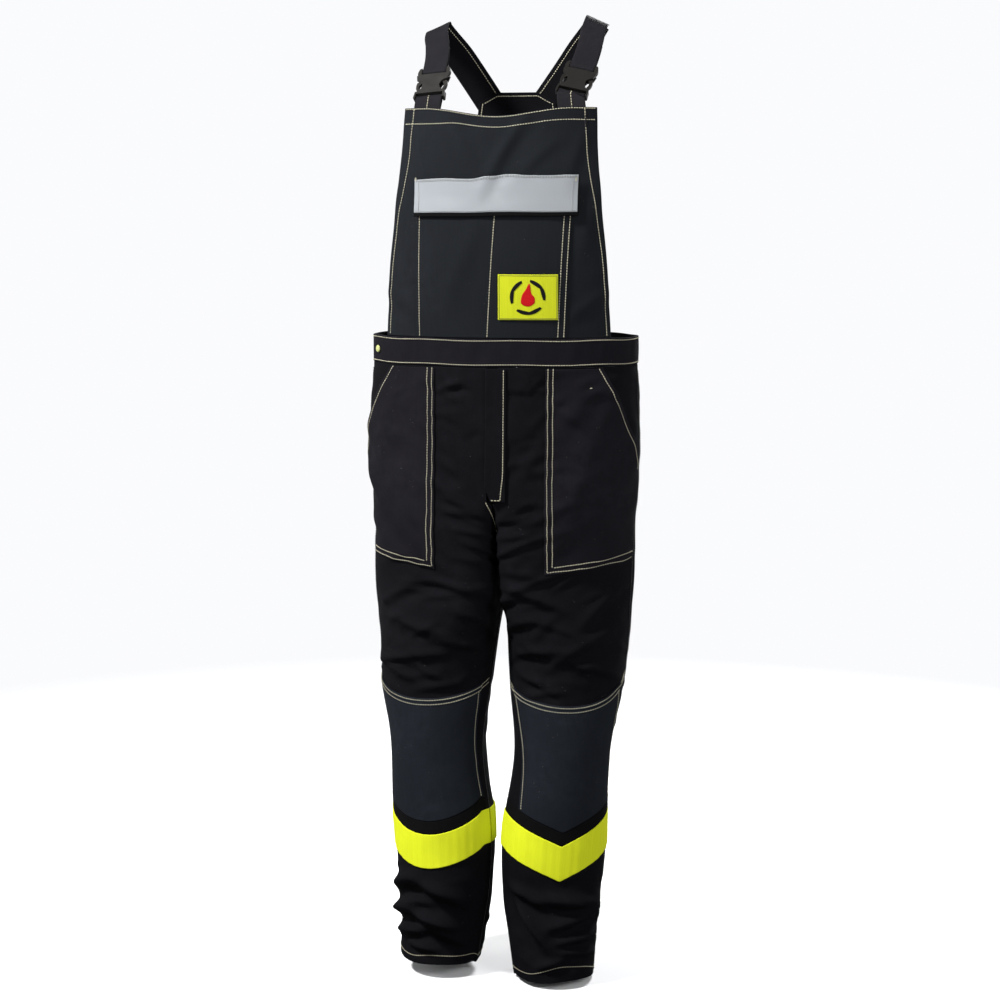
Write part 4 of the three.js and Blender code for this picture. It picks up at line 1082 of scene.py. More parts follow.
def sewAll(group, bodyName, material="creamThread", look=stitchLook):
    starts, ends, ups = [], [], []
    for points, normals in stitchRows.pop(group):
        along = np.concatenate([[0], np.cumsum(np.linalg.norm(np.diff(points, axis=0), axis=1))])
        count = max(1, int(along[-1] / look["pitch"]))
        at = (np.arange(count) + 0.1) * along[-1] / count
        to = at + look["share"] * along[-1] / count

        def pick(values, where):
            return np.stack([np.interp(where, along, values[:, k]) for k in range(3)], 1)

        starts.append(pick(points, at))
        ends.append(pick(points, to))
        ups.append(unit(pick(normals, (at + to) / 2)))
    a, b, up = np.concatenate(starts), np.concatenate(ends), np.concatenate(ups)
    centre, reach = (a + b) / 2, (b - a) / 2
    side = unit(np.cross(reach, up))
    r = look["radius"]
    rings, spokes = ((-0.72, 0.72, 0.05), (0.0, 1.0, 0.42), (0.72, 0.72, 0.05)), 6
    layers = [centre - reach - up * 0.7 * r]
    for t, size, lift in rings:
        for k in range(spokes):
            angle = 2 * math.pi * k / spokes
            layers.append(
                centre + reach * t + up * (
                    lift * r + 0.75 * r * size * math.sin(angle)
                ) + side * (r * size * math.cos(angle))
            )
    layers.append(centre + reach - up * 0.7 * r)
    vertices = np.stack(layers, 1)
    each = vertices.shape[1]
    faces = []
    for k in range(spokes):
        nxt = (k + 1) % spokes
        faces.append((0, 1 + nxt, 1 + k, 1 + k))
        for ring in range(2):
            p, q = 1 + ring * spokes, 1 + (ring + 1) * spokes
            faces.append((p + k, p + nxt, q + nxt, q + k))
        p = 1 + 2 * spokes
        faces.append((p + k, p + nxt, each - 1, each - 1))
    base = np.arange(len(centre))[:, None] * each
    everyFace = []
    for face in faces:
        corners = face[:3] if face[2] == face[3] else face
        everyFace += (base + np.array(corners)[None, :]).tolist()
    piece = linkMesh(group, vertices.reshape(-1, 3), everyFace, None, material)
    settle(piece, bodyName)
    print("sewn", group, len(centre))
    return piece


def seamLine(surface, s, z):
    points, normals = surface(np.asarray(s, float), np.asarray(z, float))
    return points, normals


# legs

legCut = {"seamGap": 0.0003, "hem": 0.026, "flyEdge": 0.008}
hemRow = {
    "left": {"low": 0.012, "high": 0.013, "at": 0.27}, "right": {"low": 0.012, "high": 0.005, "at": 0.14},
}
band = {"foot": 0.176, "height": 0.058, "strip": 0.022, "patch": 0.0017, "rise": 0.0003}
# The left point is sharp and the right one is sewn in a curve.
bandPoint = {
    "left": {"power": 0.84, "round": 0.03, "high": 0.043},
    "right": {"power": 1.25, "round": 0.20, "high": 0.036},
}
knee = {"top": 0.463, "dip": 0.032, "outerDip": 0.054, "low": 0.0003, "thickness": 0.0022}
# Where the knee patch's inner and outer edges lie round the leg, at its top and at its foot.
kneeEdges = {
    "left": {"inner": (0.055, 0.100), "outer": (0.428, 0.452)},
    "right": {"inner": (0.048, 0.018), "outer": (0.452, 0.462)},
}
hip = {"depth": 0.322, "thickness": 0.0019}
# The two pockets were not sewn on quite alike.
hipSide = {
    "left": {
        "inner": 0.083, "innerFoot": 0.014, "outerFoot": 0.006, "mouthTop": 0.33, "mouthDrop": 0.165,
        "curve": 1.0,
    },
    "right": {
        "inner": 0.095, "innerFoot": 0.007, "outerFoot": 0.009, "mouthTop": 0.335, "mouthDrop": 0.150,
        "curve": 0.75,
    },
}
seat = {"foot": 0.225, "point": 0.014, "top": 0.062, "first": 0.6, "last": 0.86}


def chevronLine(foot, which):
    point = bandPoint[which]

    def line(s):
        out = np.minimum(1, np.abs(np.asarray(s, float) - 0.25) / 0.215)
        soft = (
            np.sqrt(out**2 + point["round"] ** 2) - point["round"]
        ) / (math.sqrt(1 + point["round"] ** 2) - point["round"])
        return foot + point["high"] * soft ** point["power"]

    return line


def pocketLines(which):
    sewn = hipSide[which]

    def mouth(z):
        down = np.clip((waistZ - np.asarray(z, float)) / sewn["mouthDrop"], 0, 1)
        return between(sewn["mouthTop"], 0.47, down ** sewn["curve"])

    def foot(s):
        out = np.clip((np.asarray(s, float) - 0.2) / 0.3, 0, 1)
        return waistZ - hip["depth"] + 0.016 * out - between(sewn["innerFoot"], sewn["outerFoot"], out)

    return mouth, foot


def makeLeg(which):
    surface = legSurface(which)
    flip = which == "right"
    clothT, gap = body["cloth"], legCut["seamGap"] / 2 / legGirth

    def frontEdge(z):
        z = np.asarray(z, float)
        return np.where(z > notchTop, shareAt(legCut["flyEdge"], z), gap)

    across, up = stops(0.27, 0.0042), stops(waistZ, 0.0045)
    for part, first, last in (
        ("front", frontEdge, fixed(0.5 - gap)),
        ("back", fixed(0.5 + gap), fixed(1 - gap)),
    ):
        points, normals, s, z = overGrid(surface, first, last, fixed(0.0), fixed(waistZ - 0.0003), across, up)
        # a lapped seam is thicker along the side of the leg
        lap = 0.0007 * np.exp(
            -(((np.abs(s - 0.5) * legGirth - 0.006) / 0.004) ** 2)
        ) if part == "front" else None
        piece = clothPiece(
            f"leg_{part}_{which}", points, normals, -clothT, clothT, "blackTwill", puff=lap, flip=flip,
        )
        settle(piece, "garment", [f"{part}_leg_{which}"])

    # hem: a turned-up ring inside, and one row of stitches
    turns = np.linspace(0, 1, 90, endpoint=False)
    rings = []
    for height, depth in (
        (0.0012, -0.0031), (0.013, -0.0031), (0.025, -0.0031), (0.026, -0.0036), (0.025, -0.0041),
        (0.013, -0.0042), (0.0012, -0.0042),
    ):
        points, normals = surface(turns, np.full(90, height))
        rings.append(points + normals * depth)
    hem = ringPiece(f"hem_{which}", rings, "blackTwill", flip=flip)
    settle(hem, "garment", [f"hem_facing_{which}"])
    loop = np.linspace(0.001, 0.999, 220)
    row = hemRow[which]
    height = row["low"] + row["high"] * np.exp(
        -(((loop - row["at"]) / 0.13) ** 2)
    ) + 0.001 * np.sin(loop * 37)
    stitch(f"stitching_hem_{which}", *seamLine(surface, loop, height))
    sewAll(f"stitching_hem_{which}", "garment")

    def patch(
        name, node, material, first, last, foot, top, thickness, low, puff=None, grid=(0.004, 0.004),
        size=(0.22, 0.2),
    ):
        us, vs = stops(size[0], grid[0]), stops(size[1], grid[1])
        points, normals, s, z = overGrid(surface, first, last, foot, top, us, vs)
        swell = puff(s, z, points) if puff else None
        piece = clothPiece(
            f"{name}_{which}", points, normals, low, thickness, material, puff=swell, flip=flip,
        )
        settle(piece, "garment", [f"{node}_{which}"])
        return points, s, z

    bandTop = band["foot"] + band["height"]

    def bandPuff(s, z, points):
        # woven tape ripples a little between its sewn edges
        ripple = 0.0005 * np.sin(s * legGirth / 0.0135 * 2 * math.pi) + 0.0004 * np.sin(
            s * legGirth / 0.031 * 2 * math.pi + 1
        )
        return ripple * 0.5 + 0.0005

    patch("band_front", "yellow_band_front", "yellowWeave", fixed(0.004), fixed(0.4985),
          chevronLine(band["foot"], which), chevronLine(bandTop - 0.0003, which), band["patch"],
          band["rise"], bandPuff, size=(0.22, 0.058), grid=(0.003, 0.004))
    patch("band_back", "yellow_band_back", "yellowWeave", fixed(0.5015), fixed(0.997),
          fixed(band["foot"] + bandPoint[which]["high"]),
          fixed(bandTop + bandPoint[which]["high"] - 0.0003), band["patch"], band["rise"], bandPuff,
          size=(0.22, 0.058), grid=(0.003, 0.004))
    patch("strip", "black_strip", "shinTwill", fixed(0.012), fixed(0.488),
          chevronLine(bandTop + 0.0003, which), chevronLine(bandTop + band["strip"] - 0.0003, which),
          0.0016, 0.0003, size=(0.22, 0.022), grid=(0.003, 0.003))

    def kneePuff(s, z, points):
        # the patch stands a little proud in its middle and dips at its sewn rows
        middle = np.clip(1 - ((s - 0.26) / 0.19) ** 2, 0, 1) * np.clip(1 - ((z - 0.37) / 0.1) ** 2, 0, 1)
        return 0.0009 * middle

    def kneeTop(s):
        off = (np.asarray(s, float) - 0.25) / 0.25
        return knee["top"] + np.where(off > 0, knee["outerDip"], knee["dip"]) * off**2

    kneeFoot = chevronLine(bandTop + band["strip"] + 0.0003, which)
    edges = kneeEdges[which]

    def kneeSide(name, inset=0.0):
        def edge(z):
            down = np.clip((knee["top"] - np.asarray(z, float)) / 0.19, 0, 1)
            return between(edges[name][0], edges[name][1], down) + inset

        return edge

    patch("knee", "knee_patch", "kneeTwill", kneeSide("inner"), kneeSide("outer"), kneeFoot,
        kneeTop,
          knee["thickness"], knee["low"], kneePuff, size=(0.2, 0.2), grid=(0.004, 0.004))
    onKnee = knee["low"] + knee["thickness"]
    row = np.linspace(0.010, 0.492, 190)
    onPatch = (row > edges["inner"][0]) & (row < edges["outer"][0])
    for drop in (0.0035, 0.0105):
        points, normals = seamLine(surface, row, kneeTop(row) - drop)
        stitch(
            f"stitching_knee_{which}", points + normals * np.where(onPatch, onKnee, 0.0003)[:, None], normals,
            lift=0,
        )
    for name, inset in (("inner", 0.011), ("outer", -0.010)):
        z = between(kneeFoot(edges[name][1]) + 0.001, kneeTop(edges[name][0]) - 0.012, np.linspace(0, 1, 140))
        stitch(f"stitching_knee_{which}", *seamLine(surface, kneeSide(name, inset)(z), z), lift=onKnee)
    sewAll(f"stitching_knee_{which}", "garment")

    # hip pocket: sewn down on three sides, open along its slanted mouth
    sewn = hipSide[which]
    pocketMouth, pocketFoot = pocketLines(which)

    def pocketPuff(s, z, points):
        fromMouth = (pocketMouth(z) - s) * legGirth
        low = waistZ - sewn["mouthDrop"]
        gape = np.exp(-((fromMouth / 0.03) ** 2)) * blendStep(z, low - 0.01, low + 0.05) * (
            1 - blendStep(z, waistZ - 0.05, waistZ - 0.01)
        )
        belly = np.clip((z - pocketFoot(s)) / 0.1, 0, 1) * np.clip((waistZ - z) / 0.08, 0, 1)
        return 0.0030 * gape + 0.0007 * belly

    patch("hip_pocket", "hip_pocket", "pocketTwill", lambda z: shareAt(sewn["inner"], z),
        pocketMouth,
          pocketFoot, fixed(waistZ - 0.0032), hip["thickness"], 0.0003, pocketPuff, size=(0.12, 0.31),
          grid=(0.004, 0.005))
    onPocket = 0.0003 + hip["thickness"]
    group = f"stitching_hip_pocket_{which}"
    for inset in (0.0040, 0.0120):
        corner = float(shareAt(sewn["inner"] + inset, np.array([0.68]))[0])
        z = between(float(pocketFoot(corner)) + inset, waistZ - 0.002, np.linspace(0, 1, 200))
        stitch(group, *seamLine(surface, shareAt(sewn["inner"] + inset, z), z), lift=onPocket + 0.0004)
        reach = np.linspace(corner, 0.466, 150)
        stitch(group, *seamLine(surface, reach, pocketFoot(reach) + inset), lift=onPocket + 0.0004)
    z = between(waistZ - sewn["mouthDrop"] - 0.004, waistZ - 0.003, np.linspace(0, 1, 200))
    s = pocketMouth(z) - 0.007 / legGirth
    points, normals = seamLine(surface, s, z)
    stitch(group, points + pocketPuff(s, z, points)[:, None] * normals, normals, lift=onPocket)
    if which == "left":
        # one loose bar tack below the waist
        z = np.full(8, waistZ - 0.034)
        across = np.array(
            [float(shareAt(x, np.array([waistZ - 0.034]))[0]) for x in np.linspace(0.1485, 0.1555, 8)]
        )
        stitch(group, *seamLine(surface, across, z), lift=onPocket + 0.0006)
    sewAll(group, "garment")

    # back pocket
    def seatFoot(s):
        return waistZ - seat["foot"] - seat["point"] * (1 - np.abs(np.asarray(s, float) - 0.73) / 0.13)

    patch("back_pocket", "back_pocket", "blackTwill", fixed(seat["first"]),
        fixed(seat["last"]),
          seatFoot, fixed(waistZ - seat["top"]), 0.0019, 0.0003, lambda s, z, p: 0.0007 + 0 * s,
          size=(0.13, 0.17), grid=(0.004, 0.004))
    group = f"stitching_back_pocket_{which}"
    for inset in (0.003, 0.0095):
        s = inset / legGirth
        for edge in (seat["first"] + s, seat["last"] - s):
            z = between(seatFoot(edge) + inset, waistZ - seat["top"] - 0.002, np.linspace(0, 1, 90))
            stitch(group, *seamLine(surface, np.full(90, edge), z), lift=0.0028)
        reach = np.linspace(seat["first"] + s, seat["last"] - s, 120)
        stitch(group, *seamLine(surface, reach, seatFoot(reach) + inset), lift=0.0028)
    reach = np.linspace(seat["first"] + 0.004, seat["last"] - 0.004, 120)
    stitch(group, *seamLine(surface, reach, np.full(120, waistZ - seat["top"] - 0.018)), lift=0.0028)
    sewAll(group, "garment")

    # the side seam and the inseam are topstitched in dark thread
    z = np.linspace(0.004, waistZ - 0.01, 500)
    for at in (0.5 - 0.003 / legGirth, 0.5 - 0.010 / legGirth):
        stitch(f"stitching_seams_{which}", *seamLine(surface, np.full(500, at), z), lift=0.0007)
    z = np.linspace(0.004, crotch - 0.02, 330)
    stitch(f"stitching_seams_{which}", *seamLine(surface, np.full(330, 1 - 0.004 / legGirth), z))
    sewAll(f"stitching_seams_{which}", "garment", "darkThread")


for which in sides:
    makeLeg(which)
print("legs are made")

# waistband

waistTop = waistZ + body["waistbandHeight"]
waistbandLook = {"thickness": 0.0032, "inset": 0.0035}


def waistSurface(angle, z):
    # The band rolls outwards a little between its two sewn edges.
    angle, z = np.broadcast_arrays(np.asarray(angle, float), np.asarray(z, float))
    ripple = 0.0005 * np.sin(angle * 23) + 0.0004 * np.sin(angle * 41 + 2)
    ripple = ripple * np.sin(np.clip((z - waistZ) / body["waistbandHeight"], 0, 1) * math.pi)
    x, y = np.sin(angle) * (halfWidth + ripple), -np.cos(angle) * (halfDepth + ripple)
    normal = unit(np.stack([np.sin(angle) / halfWidth, -np.cos(angle) / halfDepth, 0 * z], -1))
    return np.stack([x, y, z + 0.0006 * np.sin(angle * 9)], -1) + origin, normal


for name, node, middle in (
    ("waistband_front", "front_waistband", 0.0), ("waistband_back", "back_waistband", math.pi),
):
    half = math.pi / 2 - 0.0015
    us, vs = stops(0.53, 0.0045), stops(body["waistbandHeight"], 0.004)
    angle = middle + between(-half, half, us)[:, None] + 0 * vs[None, :]
    z = between(waistZ + 0.0001, waistTop, vs)[None, :] + 0 * us[:, None]
    points, normals = waistSurface(angle, z)
    piece = clothPiece(name, points, normals, -body["cloth"], waistbandLook["thickness"], "pocketTwill")
    settle(piece, "garment", [node])
    sweep = middle + np.linspace(-half + 0.01, half - 0.01, 400)
    for level in (waistZ + waistbandLook["inset"], waistTop - waistbandLook["inset"]):
        points, normals = waistSurface(sweep, np.full(400, level))
        stitch("stitching_waistband", points, normals, lift=0.0013)
sewAll("stitching_waistband", "garment")

# bib and back panel

bib = {
    "height": 0.361,
    "topHalfWidth": 0.155,
    "footHalfWidth": 0.182,
    "sag": 0.014,
    "facing": 0.021,
    "strapInset": 0.121,
}
chest = {"halfWidth": 0.178, "halfDepth": 0.104, "lean": 0.022}
bibTopZ = waistTop + bib["height"]
torsoWidth = through(
    (waistTop, halfWidth),
    (between(waistTop, bibTopZ, 0.4), halfWidth - 0.006),
    (bibTopZ, chest["halfWidth"]),
    (bibTopZ + 0.04, chest["halfWidth"] - 0.006),
)
torsoDepth = through(
    (waistTop, halfDepth),
    (between(waistTop, bibTopZ, 0.4), halfDepth + 0.003),
    (bibTopZ, chest["halfDepth"]),
    (bibTopZ + 0.04, chest["halfDepth"] - 0.006),
)
torsoMiddle = through(
    (waistTop, 0), (between(waistTop, bibTopZ, 0.4), 0.004), (bibTopZ, chest["lean"]),
    (bibTopZ + 0.04, chest["lean"] + 0.002),
)
torsoSquare = through((waistTop, 2), (bibTopZ, 2.5))
bibHalf = through(
    (waistTop, bib["footHalfWidth"]),
    (between(waistTop, bibTopZ, 0.35), bib["footHalfWidth"] - 0.007),
    (between(waistTop, bibTopZ, 0.75), bib["topHalfWidth"] + 0.005),
    (bibTopZ, bib["topHalfWidth"]),
)


def bibTop(x):
    t = np.minimum(1, np.abs(np.asarray(x, float)) / bib["strapInset"])
    return bibTopZ - bib["sag"] * (1 - t * t * (3 - 2 * t))


def softWaves(x, z, waves, seed):
    rng = np.random.default_rng(seed)
    total = 0 * x
    for _ in range(waves):
        kx, kz = rng.uniform(-28, 28), rng.uniform(-16, 16)
        total = total + np.sin(kx * x + kz * z + rng.uniform(0, 6.28))
    return total / waves


def torsoRest(face, x, z):
    n = torsoSquare(z)
    inside = np.maximum(0.02, 1 - np.abs(x / torsoWidth(z)) ** n)
    return np.stack([x, torsoMiddle(z) + face * torsoDepth(z) * inside ** (1 / n), z], -1)


def torsoSurface(face):
    def folds(x, z):
        soft = blendStep(z, waistTop, waistTop + 0.05) * (1 - blendStep(z, bibTopZ - 0.06, bibTopZ - 0.01))
        drape = 0.0012 * softWaves(x, z, 6, 3 if face < 0 else 8) * soft
        # drag lines from the strap tabs, and a soft buckle above the waist
        if face < 0:
            drape = drape + crease(x, z, (0.012, bibTopZ - 0.070), 1.05, 0.19, 0.010, 0.0042)
            drape = drape + crease(x, z, (-0.055, bibTopZ - 0.055), 2.1, 0.13, 0.011, 0.0020)
            drape = drape + crease(x, z, (0.148, waistTop + 0.19), 1.35, 0.16, 0.012, 0.0030)
            drape = drape + crease(x, z, (-0.150, waistTop + 0.17), -1.40, 0.16, 0.012, 0.0026)
            drape = drape + crease(x, z, (-0.050, waistTop + 0.12), 1.20, 0.20, 0.016, 0.0020)
            drape = drape + crease(x, z, (0.070, bibTopZ - 0.075), 0.75, 0.11, 0.009, 0.0018)
        for side in (-1, 1):
            drape = drape + crease(x, z, (side * 0.125, bibTopZ - 0.075), side * 1.25, 0.14, 0.010, 0.0020)
            drape = drape + crease(x, z, (side * 0.15, waistTop + 0.055), side * 0.6, 0.10, 0.010, 0.0026)
        return drape

    def rest(x, z):
        step = 0.001
        a = torsoRest(face, x + step, z) - torsoRest(face, x - step, z)
        b = torsoRest(face, x, z + 3 * step) - torsoRest(face, x, z - 3 * step)
        normal = unit(np.cross(a, b)) * -face
        return torsoRest(face, x, z) + normal * folds(x, z)[..., None]

    def surface(x, z):
        x, z = np.broadcast_arrays(np.asarray(x, float), np.asarray(z, float))
        step = 0.002
        a = rest(x + step, z) - rest(x - step, z)
        b = rest(x, z + step) - rest(x, z - step)
        return rest(x, z) + origin, unit(np.cross(a, b)) * -face

    return surface


front, rear = torsoSurface(-1), torsoSurface(1)


def bibPatch(name, node, material, left, right, foot, top, low, thickness, surface=front, step=0.005,
    puff=None,
             bodyName="garment", size=(0.3, 0.3), flip=False):
    us, vs = stops(size[0], step), stops(size[1], step)
    points, normals, x, z = overGrid(surface, left, right, foot, top, us, vs)
    piece = clothPiece(
        name, points, normals, low, thickness, material, puff=puff(x, z) if puff else None, flip=flip,
    )
    settle(piece, bodyName, [node])
    return piece


clothT = body["cloth"]
bibPatch("bib", "front_bib", "bibTwill", lambda z: -bibHalf(z), bibHalf,
    fixed(waistTop + 0.0004), bibTop,
         -clothT, clothT, size=(0.34, 0.36))
bibPatch("bib_facing", "bib_top_facing", "bibTwill", lambda z: 0.001 - bibHalf(z),
    lambda z: bibHalf(z) - 0.001,
         lambda x: bibTop(x) - bib["facing"], lambda x: bibTop(x) - 0.0004, -clothT - 0.0014, 0.0011,
         size=(0.3, 0.021))
x = np.linspace(-0.152, 0.152, 300)
for drop in (0.0020 + 0 * x, 0.0180 + 0.0075 * blendStep(-x, 0.05, 0.115) + 0.002 * blendStep(x, 0.06, 0.13)):
    stitch("stitching_bib", *front(x, bibTop(x) - drop))
z = np.linspace(waistTop + 0.003, bibTopZ - 0.002, 300)
for side in (-1, 1):
    inset = between(0.0065, 0.0185, blendStep(z, waistTop + 0.10, bibTopZ))
    stitch("stitching_bib", *front(side * (bibHalf(z) - inset), z))
sewAll("stitching_bib", "garment")

# chest pocket, flap and badge

pocket = {"halfWidth": 0.124, "height": 0.229, "low": 0.0003, "thickness": 0.0019}
flap = {"left": -0.1275, "right": 0.1305, "height": 0.058, "top": 0.253, "lip": 0.005}
pocketTop = waistTop + pocket["height"]


def pocketSwell(x, z):
    # two compartments, each a little full, parted by the row of stitches down the middle
    middle = between(-0.0085, 0.0045, np.clip((z - waistTop) / pocket["height"], 0, 1))
    wide = np.abs(np.sin(np.clip((x - middle) / pocket["halfWidth"], -1, 1) * math.pi))
    tall = np.sin(np.clip((z - waistTop) / pocket["height"], 0, 1) * math.pi)
    return 0.0016 * wide**0.7 * tall


def pocketRight(z):
    # the right edge leans in towards the foot
    return pocket["halfWidth"] - 0.0105 * (
        1 - np.clip((np.asarray(z, float) - waistTop) / pocket["height"], 0, 1)
    )


bibPatch("chest_pocket", "chest_pocket", "bibTwill", fixed(-pocket["halfWidth"]), pocketRight,
         fixed(waistTop + 0.0008), fixed(pocketTop), pocket["low"], pocket["thickness"],
         size=(0.25, 0.235), puff=pocketSwell)
onPocket = pocket["low"] + pocket["thickness"] + 0.0002
z = np.linspace(waistTop + 0.002, pocketTop - 0.003, 220)
lean = (z - waistTop) / pocket["height"]
for x in (
    -pocket["halfWidth"] + 0.004 + 0 * z, between(-0.0085, 0.0045, lean), pocketRight(z) - 0.0120,
    pocketRight(z) - 0.0030,
):
    points, normals = front(x, z)
    stitch("stitching_chest_pocket", points + normals * pocketSwell(x, z)[:, None], normals, lift=onPocket)
x = np.linspace(-0.12, 0.12, 240)
points, normals = front(x, np.full(240, pocketTop - 0.006))
stitch("stitching_chest_pocket", points, normals, lift=onPocket)
sewAll("stitching_chest_pocket", "garment")

loopFoot = pocketTop - 0.022
bibPatch("pocket_loop_tape", "pocket_loop_tape", "touchPile", fixed(-0.112), fixed(0.112),
    fixed(loopFoot),
         fixed(loopFoot + 0.018), 0.0026, 0.0009, size=(0.22, 0.018), step=0.004)
bibPatch("flap_hook_tape", "flap_hook_tape", "touchPile", fixed(-0.112), fixed(0.112),
    fixed(loopFoot),
         fixed(loopFoot + 0.018), 0.0041, 0.0009, size=(0.22, 0.018), step=0.004, bodyName="chest_flap")
flapFoot = waistTop + flap["top"] - flap["height"]


def flapSwell(x, z):
    # the loose lower edge curls out a little, most at its corners
    loose = 1 - blendStep(z, flapFoot, flapFoot + 0.03)
    return loose * (0.0006 + 0.0009 * np.sin(x * 31 + 0.6) ** 2)


def flapLine(level, share=1.0):
    # the sewn edges of the flap and its tape are a little uneven
    def line(x):
        x = np.asarray(x, float)
        return level + share * (0.0030 * np.tanh((x + 0.018) / 0.016) + 0.0009 * np.sin(x * 61))

    return line


bibPatch("chest_flap", "chest_flap", "shinTwill", fixed(flap["left"]), fixed(flap["right"]),
         flapLine(flapFoot - flap["lip"], 0.2), flapLine(flapFoot + flap["height"] - 0.001), 0.0053,
         0.0014, size=(0.264, 0.063), puff=flapSwell, bodyName="chest_flap")
bibPatch("reflective_tape", "flap_reflective_tape", "greyTape",
    fixed(flap["left"] + 0.0008), fixed(flap["right"] - 0.002),
         flapLine(flapFoot + 0.001, 0.2), flapLine(flapFoot + flap["height"] - 0.002), 0.0069, 0.0008,
         size=(0.264, 0.056), puff=flapSwell, bodyName="chest_flap")
x = np.linspace(flap["left"] + 0.002, flap["right"] - 0.002, 260)
for level, share in (
    (flapFoot + 0.003, 0.2), (flapFoot + flap["height"] - 0.0040, 1.0),
    (flapFoot + flap["height"] - 0.0055, 1.0),
):
    z = flapLine(level, share)(x)
    points, normals = front(x, z)
    stitch("stitching_flap", points + normals * flapSwell(x, z)[:, None], normals, lift=0.0078)
z = np.linspace(flapFoot + 0.003, flapFoot + flap["height"] - 0.006, 50)
for edge in (flap["left"] + 0.0085, flap["right"] - 0.0100):
    x = np.full(50, edge)
    points, normals = front(x, z)
    stitch("stitching_flap", points + normals * flapSwell(x, z)[:, None], normals, lift=0.0078)
sewAll("stitching_flap", "chest_flap", "greyThread")
for side in (-1, 1):
    for k in range(5):
        z = np.array([0.0, 0.003]) + flapFoot + flap["height"] - 0.008 + 0.0012 * k
        stitch(
            "flap_bar_tacks", *front(np.full(2, side * 0.1245) + np.array([-0.002, 0.002]), z[:1] + 0 * z),
            lift=0.0079,
        )
sewAll(
    "flap_bar_tacks", "chest_flap", "creamThread",
    {"pitch": 0.005, "share": 0.9, "radius": 0.0004},
)

badge = {"width": 0.0925, "height": 0.071, "left": 0.0095, "foot": 0.030, "low": 0.0030}
badgeMiddle = (badge["left"] + badge["width"] / 2, waistTop + badge["foot"] + badge["height"] / 2)


def badgeSurface(x, z):
    points, normals = front(x, z)
    return points + normals * pocketSwell(np.asarray(x, float), np.asarray(z, float))[..., None], normals


bibPatch("badge", "chest_badge", "badgeWeave", fixed(badge["left"]),
    fixed(badge["left"] + badge["width"]),
         fixed(waistTop + badge["foot"]), fixed(
             waistTop + badge["foot"] + badge["height"]
         ), badge["low"], 0.0016,
         surface=badgeSurface, size=(badge["width"], badge["height"]), step=0.003)


def badgeShape(name, outline, material, low=0.0047, thickness=0.0005, rings=5):
    # A raised embroidered shape: rings of the outline, shrinking to its middle.
    outline = np.asarray(outline, float)
    middle = outline.mean(0)
    vertices, faces, count = [], [], len(outline)
    steps = [(1.0, 0.0), (0.985, 0.7), (0.95, 1.0)] + [(0.95 * (1 - k / rings), 1.0) for k in range(1, rings)]
    for share, rise in steps:
        at = middle + (outline - middle) * share
        points, normals = badgeSurface(at[:, 0] + badgeMiddle[0], at[:, 1] + badgeMiddle[1])
        vertices.append(points + normals * (low + thickness * rise))
    for ring in range(len(steps) - 1):
        for k in range(count):
            a, b = ring * count + k, ring * count + (k + 1) % count
            faces.append((a, b, b + count, a + count))
    points, normals = badgeSurface(
        np.array([middle[0] + badgeMiddle[0]]), np.array([middle[1] + badgeMiddle[1]]),
    )
    vertices.append(points + normals * (low + thickness))
    top = len(steps) * count
    last = (len(steps) - 1) * count
    faces += [(last + k, last + (k + 1) % count, top) for k in range(count)]
    # close it behind
    under, normals = badgeSurface(outline[:, 0] + badgeMiddle[0], outline[:, 1] + badgeMiddle[1])
    vertices.append(under + normals * (low - 0.0003))
    floor = top + 1
    faces += [(k, floor + k, floor + (k + 1) % count, (k + 1) % count) for k in range(count)]
    faces.append(tuple(floor + k for k in reversed(range(count))))
    allPoints = np.concatenate(vertices)
    uvs = allPoints[:, [0, 2]]
    return settle(linkMesh(name, allPoints, faces, uvs, material), "garment")


def closedCurve(controls, steps=8):
    # A smooth loop through a few points.
    p = np.asarray(controls, float)
    out = []
    for i in range(len(p)):
        a, b, c, d = p[i - 1], p[i], p[(i + 1) % len(p)], p[(i + 2) % len(p)]
        for k in range(steps):
            t = k / steps
            out.append(
                0.5 * (
                    2 * b + (c - a) * t + (2 * a - 5 * b + 4 * c - d) * t**2 + (3 * b - a - 3 * c + d) * t**3
                )
            )
    return np.array(out)


# A plain flame in a broken ring: a general fire sign.
flame = closedCurve(
    [
        (-0.011, -0.004), (-0.006, -0.0095), (0.003, -0.0105), (0.011, -0.005), (0.011, 0.004),
        (0.006, 0.011), (0.003, 0.027), (-0.003, 0.017), (-0.009, 0.008),
    ],
    6,
)
badgeShape("badge_flame", (0.95 * flame + (0, -0.004))[::-1], "redWeave")
for k in range(3):
    turns = np.radians(np.linspace(-10, 82, 30) + 120 * k)
    ring = np.stack([np.cos(turns), np.sin(turns)], 1)
    badgeShape(f"badge_ring_{k + 1}", np.concatenate([0.0275 * ring, 0.0240 * ring[::-1]]), "inkWeave")
t = np.linspace(0, 1, 60)
w, h = badge["width"] / 2 - 0.002, badge["height"] / 2 - 0.002
for a, b in (((-w, -h), (w, -h)), ((w, -h), (w, h)), ((w, h), (-w, h)), ((-w, h), (-w, -h))):
    points, normals = badgeSurface(
        between(a[0], b[0], t) + badgeMiddle[0], between(a[1], b[1], t) + badgeMiddle[1],
    )
    stitch("stitching_badge", points, normals, lift=0.0047)
sewAll(
    "stitching_badge", "garment", "darkThread",
    {"pitch": 0.0016, "share": 0.95, "radius": 0.0005},
)

# back panel

back = {"height": 0.393, "footHalfWidth": 0.146, "topHalfWidth": 0.062, "flat": 0.034, "stitch": 0.006}
backTopZ = waistTop + back["height"]
backHalf = through(
    (waistTop, back["footHalfWidth"]),
    (between(waistTop, backTopZ, 0.3), back["footHalfWidth"] - 0.022),
    (between(waistTop, backTopZ, 0.75), back["topHalfWidth"] + 0.016),
    (backTopZ, back["topHalfWidth"]),
)


